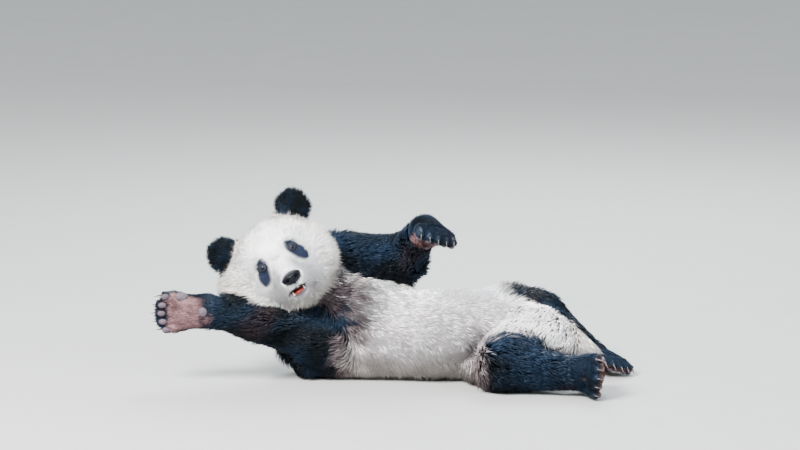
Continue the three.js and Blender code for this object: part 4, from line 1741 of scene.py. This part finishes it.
    def map_tufts(self, piece: bpy.types.Object, area: CoatArea, triangles: Array,
                  picked: Array, shares: Array) -> None:
        """Gives a coat piece its map: each tuft a small patch where its root is on the skin.

        Args:
            piece: The coat piece.
            area: What it is like.
            triangles: The skin triangles under the area.
            picked: Each tuft's triangle.
            shares: Each root's weights within its triangle.
        """
        flat = unwrap(self.skin.surface.points, triangles)
        roots = np.einsum("nk,nkc->nc", shares, flat[picked])
        patch = 0.003
        if area.tuft is Tuft.LONG:
            local = np.array([[-0.5, -0.5], [0.5, -0.5], [0.0, -0.5], [-0.4, 0.0], [0.4, 0.0],
                              [0.0, 0.0], [0.0, 0.5]])
        else:
            local = np.array([[-0.5, -0.5], [0.5, -0.5], [0.0, -0.5], [0.0, 0.5]])
        per_point = (roots[:, None, :] + patch * local[None]).reshape(-1, 2)
        mesh = piece.data
        corners = mesh_corners(mesh).ravel()
        layer = mesh.uv_layers.new(name=BAKE_MAP)
        layer.data.foreach_set("uv", np.ascontiguousarray(per_point[corners], np.float32).ravel())


def scatter(weight: Array, count: int, rng: np.random.Generator) -> tuple[Array, Array]:
    """Spreads places evenly over triangles.

    Args:
        weight: How many places each triangle should get, relative to the others.
        count: How many places there are.
        rng: The random numbers.

    Returns:
        Each place's triangle, and its weights at the triangle's three corners.
    """
    total = np.cumsum(weight)
    steps = (np.arange(count) + rng.uniform(0.0, 1.0, count)) / count * total[-1]
    picked = np.minimum(np.searchsorted(total, steps), len(weight) - 1)
    a, b = rng.uniform(0.0, 1.0, (2, count))
    flip = a + b > 1.0
    a[flip], b[flip] = 1.0 - a[flip], 1.0 - b[flip]
    return picked, np.stack([1.0 - a - b, a, b], 1)


def build_tufts(area: CoatArea, line: tuple[Array, Array, Array], normal: Array, width: Array,
                colours: tuple[Array, Array], rng: np.random.Generator) -> bpy.types.Object:
    """Builds closed three-sided tufts as one mesh.

    Args:
        area: What the coat is like there.
        line: Where each tuft leaves the skin, where it bends and where it ends.
        normal: The skin's normal at its root.
        width: Its width at the root, in metres.
        colours: Its colour at the root and at the tip.
        rng: The random numbers.

    Returns:
        The coat piece.
    """
    root, middle, tip = line
    count = len(root)
    first = unit(middle - root)
    side = unit(np.cross(normal, first) + 1e-6)
    turn = rng.uniform(0.0, 2.0 * math.pi, count)
    over = np.cross(first, side)
    rings = []
    for k in range(3):
        angle = turn + k * 2.0 * math.pi / 3.0
        rings.append(np.cos(angle)[:, None] * side + np.sin(angle)[:, None] * over)
    spread_of_shade = rng.uniform(0.0, 1.0, count)[:, None]
    pale = colours[0].mean(1, keepdims=True) > 0.2
    amount = np.where(pale, area.dim, 0.84) * (1.0 - spread_of_shade) + 1.09 * spread_of_shade
    shade, shade_end = amount * colours[0], amount * colours[1]
    # Painted shade at the roots: they are darker than the hair's middle.
    low = np.where(pale, 0.66, 0.5)
    # Painted highlight at the tips: lighter than the middle, strongly on black hair as a painted
    # sheen.
    high = np.where(pale, 1.06, 1.7)
    half = (width / 2.0)[:, None]
    if area.tuft is Tuft.LONG:
        points = [root + half * ring for ring in rings]
        points += [middle + 0.78 * half * ring for ring in rings] + [tip]
        tints = [shade * low] * 3 + [shade] * 3 + [shade_end * high]
        corners = [(0, 2, 1)]
        for k in range(3):
            n = (k + 1) % 3
            corners += [(k, n, 3 + n), (k, 3 + n, 3 + k), (3 + k, 3 + n, 6)]
    else:
        points = [root + half * ring for ring in rings] + [tip]
        tints = [shade * (low * 0.5 + 0.5)] * 3 + [shade_end * (high * 0.5 + 0.5)]
        corners = [(0, 2, 1)] + [(k, (k + 1) % 3, 3) for k in range(3)]
    each = len(points)
    co = np.stack(points, 1).reshape(-1, 3)
    faces = (np.array(corners)[None] + (np.arange(count) * each)[:, None, None]).reshape(-1, 3)
    mesh = mesh_of_arrays(area.name, co, faces)
    paint(mesh, np.stack(tints, 1).reshape(-1, 3))
    return in_scene(area.name, mesh)


def unwrap(points: Array, triangles: Array) -> Array:
    """Unwraps part of the skin by its own shape.

    Args:
        points: The skin's points.
        triangles: The triangles to unwrap.

    Returns:
        Flat places of each triangle's three corners.
    """
    used, renumbered = np.unique(triangles, return_inverse=True)
    mesh = mesh_of_arrays("unwrap", points[used], renumbered.reshape(-1, 3))
    piece = in_scene("unwrap", mesh)
    bpy.ops.object.select_all(action="DESELECT")
    bpy.context.view_layer.objects.active = piece
    piece.select_set(True)
    bpy.ops.object.mode_set(mode="EDIT")
    bpy.ops.mesh.select_all(action="SELECT")
    bpy.ops.uv.smart_project(angle_limit=math.radians(72.0), island_margin=0.004)
    bpy.ops.object.mode_set(mode="OBJECT")
    flat = np.empty(len(mesh.loops) * 2, np.float32)
    mesh.uv_layers.active.data.foreach_get("uv", flat)
    bpy.data.objects.remove(piece)
    bpy.data.meshes.remove(mesh)
    return flat.reshape(-1, 3, 2).astype(float)


# ------------------------------------------------------------------------------ face pieces


@dataclass
class Eyes:
    """The two eyeballs: dark iris, pupil and a slightly raised cornea."""

    skeleton: Skeleton
    pupil: float = 2.6
    iris: float = 6.6
    cornea_rise: float = 0.7
    segments: int = 48
    rings: int = 36

    def build(self) -> bpy.types.Object:
        """Builds both eyes as one piece."""
        bm = bmesh.new()
        for side in (1, -1):
            eye = self.skeleton.eye(side)
            verts = bmesh.ops.create_uvsphere(
                bm, u_segments=self.segments, v_segments=self.rings,
                radius=self.skeleton.eye_radius)["verts"]
            bmesh.ops.rotate(bm, verts=verts, cent=(0, 0, 0), matrix=Z_TO_Y)
            for vert in verts:
                off_axis = math.hypot(vert.co.x, vert.co.z)
                if vert.co.y > 0.0:
                    vert.co.y += self.cornea_rise * math.exp(-((off_axis / 6.0) ** 2))
            bmesh.ops.transform(bm, matrix=eye.matrix(), verts=verts)
        bmesh.ops.recalc_face_normals(bm, faces=bm.faces[:])
        piece = object_in_order("eyes", bm)
        points = np.array([v.co for v in piece.data.vertices])
        colours = np.tile(np.array([[0.02, 0.018, 0.018]]), (len(points), 1))
        for side in (1, -1):
            e = self.skeleton.eye(side).inward(points)
            off = np.hypot(e[:, 0], e[:, 2])
            front = (e[:, 1] > 0.0) & (np.linalg.norm(e, axis=1) < 14.0)
            iris = mix((0.005, 0.0045, 0.0045), (0.010, 0.010, 0.012), ramp(off, 2.8, 4.6))
            # Painted reflection: a blue-grey ring at the iris's edge.
            iris = mix(iris, (0.034, 0.043, 0.066), ramp(off, self.iris - 1.4, self.iris - 0.4))
            iris = mix(iris, (0.001, 0.001, 0.0015), ramp(off, self.pupil + 0.5, self.pupil))
            iris = mix(iris, (0.012, 0.012, 0.015), ramp(off, self.iris + 0.8, self.iris + 1.8))
            colours[front] = iris[front]
        paint(piece.data, colours)
        piece.data.materials.append(EyeFinish().material())
        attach(piece, "root")
        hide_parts("eye_left", "eye_right")
        return piece


@dataclass
class Nose:
    """The nose leather with its two comma-shaped nostrils."""

    skeleton: Skeleton
    half: Point = (28.5, 13.0, 11.2)
    height: float = -44.5

    def build(self) -> bpy.types.Object:
        """Builds the nose."""
        head = self.skeleton.head
        tip = head.inward(node_points("nose"))[:, 1].max()
        bm = bmesh.new()
        bmesh.ops.create_icosphere(bm, subdivisions=6, radius=1.0)
        points = np.array([v.co for v in bm.verts])
        a, b, c = points.T
        x = self.half[0] * np.sign(a) * np.abs(a) ** 0.88 * (1.0 + 0.26 * c - 0.12 * c**2)
        x = x + 4.0 * ramp(c, 0.3, -1.0)
        z = self.half[2] * np.sign(c) * np.abs(c) ** 0.92
        y = self.half[1] * b + 1.6 * np.maximum(b, 0.0) * (1.0 - c)
        stem = np.exp(-((x / 7.0) ** 2)) * ramp(c, -0.2, -1.0)
        z = z - 11.0 * stem
        front = ramp(b, 0.0, 0.35)
        for side in (1.0, -1.0):
            u, w = x * side - 13.5, z + 3.5
            round_part = np.exp(-((u / 5.4) ** 2) - ((w / 4.0) ** 2))
            below = w - 0.14 * (u - 4.0) + 0.6
            arc = np.exp(-(((u - 9.0) / 6.0) ** 2) - ((below / 2.0) ** 2))
            y = y - front * (11.0 * round_part + 5.5 * arc)
            wing = np.exp(-((u / 9.0) ** 2) - (((w - 8.5) / 4.0) ** 2))
            y = y + front * 1.3 * wing
        y = y - front * 1.6 * np.exp(-((x / 1.7) ** 2)) * ramp(z, 2.0, -6.0)
        local = np.stack([x, y + tip - self.half[1] - 1.0, z + self.height], 1)
        for vert, place in zip(bm.verts, head.outward(local)):
            vert.co = place
        piece = object_of_bmesh("nose_leather", bm)
        finish = LeatherFinish("nose_leather", (0.004, 0.0045, 0.007), roughness=0.45,
                               grain=1000.0, relief=0.7, wet=0.03, shine=0.05)
        piece.data.materials.append(finish.material())
        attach(piece, "root")
        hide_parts("nose")
        return piece


@dataclass
class Mouth:
    """The tongue behind the open lips, and the teeth that show beside it."""

    skeleton: Skeleton
    tongue_half: Point = (17.0, 17.0, 5.5)
    gum: float = -92.0

    def build(self) -> list[bpy.types.Object]:
        """Builds tongue and teeth."""
        return [self.tongue(), self.teeth()]

    def middle(self) -> Array:
        """Returns the middle of the tongue in the head's frame."""
        return self.skeleton.head.inward(node_points("tongue")).mean(0) + np.array([1.0, -5.0, 0.5])

    def tongue(self) -> bpy.types.Object:
        """Builds the tongue."""
        bm = bmesh.new()
        bmesh.ops.create_uvsphere(bm, u_segments=40, v_segments=28, radius=1.0)
        middle = self.middle()
        for vert in bm.verts:
            a, b, c = vert.co
            groove = 0.28 * math.exp(-((a / 0.16) ** 2)) * max(c, 0.0)
            vert.co = (a * (1.0 - 0.18 * max(b, 0.0)), b, c - groove)
        shape = self.skeleton.head.matrix() @ Matrix.Translation(Vector(middle))
        shape = shape @ Matrix.Diagonal((*self.tongue_half, 1))
        bmesh.ops.transform(bm, matrix=shape, verts=bm.verts[:])
        piece = object_in_order("tongue_flesh", bm)
        finish = LeatherFinish("tongue_flesh", (0.20, 0.022, 0.016), roughness=0.35,
                               grain=700.0, relief=0.4, wet=0.3)
        piece.data.materials.append(finish.material())
        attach(piece, "root")
        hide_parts("tongue")
        return piece

    def teeth(self) -> bpy.types.Object:
        """Builds the lower canines and incisors."""
        bm = bmesh.new()
        front = self.middle()[1] + 8.0
        rows = [(-12.5, 3.2, 11.0), (22.0, 3.2, 11.0)]
        rows += [(-5.5 + 4.0 * k, 1.7, 4.5) for k in range(6)]
        for x, radius, tall in rows:
            tooth = bmesh.ops.create_cone(bm, cap_ends=True, segments=14, radius1=radius,
                                          radius2=radius * 0.25, depth=tall)["verts"]
            place = (x, front - 0.012 * (x - 5.0) ** 2, self.gum + tall / 2.0)
            bmesh.ops.translate(bm, vec=place, verts=tooth)
            bmesh.ops.transform(bm, matrix=self.skeleton.head.matrix(), verts=tooth)
        piece = object_of_bmesh("teeth", bm)
        finish = HornFinish("tooth_enamel", (0.74, 0.66, 0.48), (0.55, 0.42, 0.26), 0.3)
        piece.data.materials.append(finish.material())
        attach(piece, "root")
        return piece


# ------------------------------------------------------------------------------ paw pieces


@dataclass
class Paws:
    """The claws and the bare pads of all four paws."""

    skeleton: Skeleton
    skin: Skin
    claw_length: float = 34.0
    claw_radius: float = 4.4
    claw_sunk: float = 11.0
    claw_oval: tuple[float, float] = (0.72, 1.15)
    claw_bend: float = 0.014

    def build(self) -> list[bpy.types.Object]:
        """Builds claws and pads."""
        return [self.claws(), self.pads()]

    def claws(self) -> bpy.types.Object:
        """Builds all twenty claws as one piece."""
        bm = bmesh.new()
        names = []
        for part in PAWS:
            place = self.skeleton.paw(part)
            for toe in range(self.skeleton.paw_shape.toes):
                self.claw(bm, place, self.skeleton.paw_shape.side(toe))
                names.append(f"{part.node}_claw_{toe + 1}")
        bmesh.ops.recalc_face_normals(bm, faces=bm.faces[:])
        piece = object_in_order("claws", bm)
        finish = HornFinish("claw_horn", (0.085, 0.075, 0.070), (0.022, 0.019, 0.018), 0.3)
        piece.data.materials.append(finish.material())
        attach(piece, "root")
        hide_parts(*names)
        return piece

    def claw(self, bm: bmesh.types.BMesh, place: LocalFrame, side: float) -> None:
        """Adds one claw: an oval cone that narrows and bends down towards its tip.

        Args:
            bm: The bmesh it goes into.
            place: The paw's frame.
            side: The toe's distance from the paw's middle line.
        """
        start = bmesh.ops.create_circle(bm, cap_ends=True, segments=14, radius=self.claw_radius)
        ring = start["verts"]
        bmesh.ops.rotate(bm, verts=ring, cent=(0, 0, 0), matrix=Z_TO_Y)
        new = list(ring)
        edges = list({e for v in ring for e in v.link_edges})
        steps = 9
        for step in range(steps):
            grown = bmesh.ops.extrude_edge_only(bm, edges=edges)["geom"]
            ring = [g for g in grown if isinstance(g, bmesh.types.BMVert)]
            edges = [g for g in grown if isinstance(g, bmesh.types.BMEdge)]
            now, before = (step + 1) / steps, step / steps
            shrink = (1.0 - now**1.6 * 0.93) / (1.0 - before**1.6 * 0.93)
            bmesh.ops.translate(bm, verts=ring, vec=(0, self.claw_length / steps, 0))
            centre = Vector((0, now * self.claw_length, 0))
            for vert in ring:
                vert.co = centre + (vert.co - centre) * shrink
            new += ring
        bmesh.ops.contextual_create(bm, geom=edges)
        reach = self.skeleton.paw_shape.reach(side)
        for vert in new:
            out = vert.co.y
            vert.co = (vert.co.x * self.claw_oval[0] + side, reach - self.claw_sunk + out,
                       vert.co.z * self.claw_oval[1] - self.claw_bend * out * out)
        bmesh.ops.transform(bm, matrix=place.matrix(), verts=new)

    def pads(self) -> bpy.types.Object:
        """Builds the bare pads of palms and soles as one piece."""
        bm = bmesh.new()
        tree = self.skin.surface.tree()
        for part in PAWS:
            place = self.skeleton.paw(part)
            fore = part in FOREPAWS
            for x, y, wide, deep, tall in self.skeleton.paw_shape.pads(fore):
                self.pad(bm, tree, place, Vector((x, y, 0.0)), Vector((wide, deep, tall)))
        piece = object_of_bmesh("pads", bm)
        finish = LeatherFinish("pad_leather", (0.064, 0.048, 0.062), roughness=0.5,
                               grain=560.0, relief=0.9)
        piece.data.materials.append(finish.material())
        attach(piece, "root")
        return piece

    def pad(self, bm: bmesh.types.BMesh, tree: BVHTree, place: LocalFrame, spot: Vector,
            half: Vector) -> None:
        """Adds one pad where a ray from under the paw meets the skin.

        Args:
            bm: The bmesh it goes into.
            tree: The search tree of the skin.
            place: The paw's frame.
            spot: Its place on the paw; the height is found.
            half: Its half sizes.
        """
        start = Vector(place.outward([spot.x, spot.y, -90.0]))
        up = Vector(place.turned([0.0, 0.0, 1.0]))
        hit, normal, *_ = tree.ray_cast(start, up, 0.2)
        if hit is None:
            return
        facing = 0.6 * np.array(normal) - 0.4 * place.axes[2]
        seat = LocalFrame.facing(np.array(hit), place.axes[1] - facing * (facing @ place.axes[1]),
                                 facing, place.scale)
        verts = bmesh.ops.create_icosphere(bm, subdivisions=3, radius=1.0)["verts"]
        shape = seat.matrix() @ Matrix.Translation((0.0, 0.0, 0.12 * half.z))
        bmesh.ops.transform(bm, matrix=shape @ Matrix.Diagonal((*half, 1)), verts=verts)


# ------------------------------------------------------------------------------ the studio


@dataclass(frozen=True)
class Studio:
    """A plain pale floor, soft light from above and both sides, and the camera."""

    aim: Point
    floor_size: float = 90.0
    lens: float = 180.0
    elevation: float = 9.0
    distance: float = 11.2

    def build(self) -> None:
        """Builds floor, lights, surroundings and camera."""
        bm = bmesh.new()
        bmesh.ops.create_grid(bm, x_segments=2, y_segments=2, size=self.floor_size / 2)
        floor = object_of_bmesh("floor", bm)
        floor.data.materials.append(FloorFinish().material())
        self.light("key_light", (-2.6, -3.6, 4.2), 2.4, 2100.0, (1.0, 0.985, 0.96))
        self.light("fill_light", (3.6, -3.2, 2.2), 3.0, 270.0, (0.90, 0.95, 1.0))
        self.light("rim_light", (0.8, 3.4, 3.4), 2.4, 430.0, (0.92, 0.97, 1.0))
        self.surroundings((0.90, 0.95, 1.0), 1.45)
        self.camera()

    def light(self, name: str, place: Point, size: float, power: float, colour: Colour) -> None:
        """Adds one soft square light that points at the model.

        Args:
            name: Its name.
            place: Where it hangs.
            size: Its side, in metres.
            power: Its power in watts.
            colour: Its colour.
        """
        lamp = bpy.data.lights.new(name, "AREA")
        lamp.shape = "SQUARE"
        lamp.size = size
        lamp.energy = power
        lamp.color = colour
        holder = in_scene(name, lamp)
        holder.location = place
        towards = Vector((0.0, 0.0, 0.2)) - Vector(place)
        holder.rotation_euler = towards.to_track_quat("-Z", "Y").to_euler()

    @staticmethod
    def surroundings(colour: Colour, strength: float) -> None:
        """Lights the scene evenly from all around."""
        world = bpy.data.worlds.new("studio_air")
        world.use_nodes = True
        background = world.node_tree.nodes["Background"]
        background.inputs["Color"].default_value = (*colour, 1.0)
        background.inputs["Strength"].default_value = strength
        bpy.context.scene.world = world

    def camera(self) -> None:
        """Adds the camera: level with the model, a little above it, far away."""
        data = bpy.data.cameras.new("camera")
        data.lens = self.lens
        data.sensor_width = 36.0
        data.clip_end = 200.0
        camera = in_scene("camera", data)
        rise = math.radians(self.elevation)
        aim = Vector(self.aim)
        camera.location = aim + self.distance * Vector((0.0, -math.cos(rise), math.sin(rise)))
        camera.rotation_euler = (math.pi / 2.0 - rise, 0.0, 0.0)
        bpy.context.scene.camera = camera


def main() -> None:
    """Builds every sub-assembly in order."""
    skeleton = Skeleton()
    markings = Markings(skeleton)
    skin = Skin(skeleton, markings)
    piece = skin.build()
    LOG.info("skin: %d triangles", len(piece.data.polygons))
    coat = Coat(skeleton, markings, skin)
    coat.build()
    for piece in (Eyes(skeleton).build(), Nose(skeleton).build(), *Mouth(skeleton).build(),
                  *Paws(skeleton, skin).build()):
        LOG.info("%s: %d faces", piece.name, len(piece.data.polygons))
    Studio(tuple(skeleton.place(CAMERA_AIM))).build()


if __name__ == "__main__":
    main()
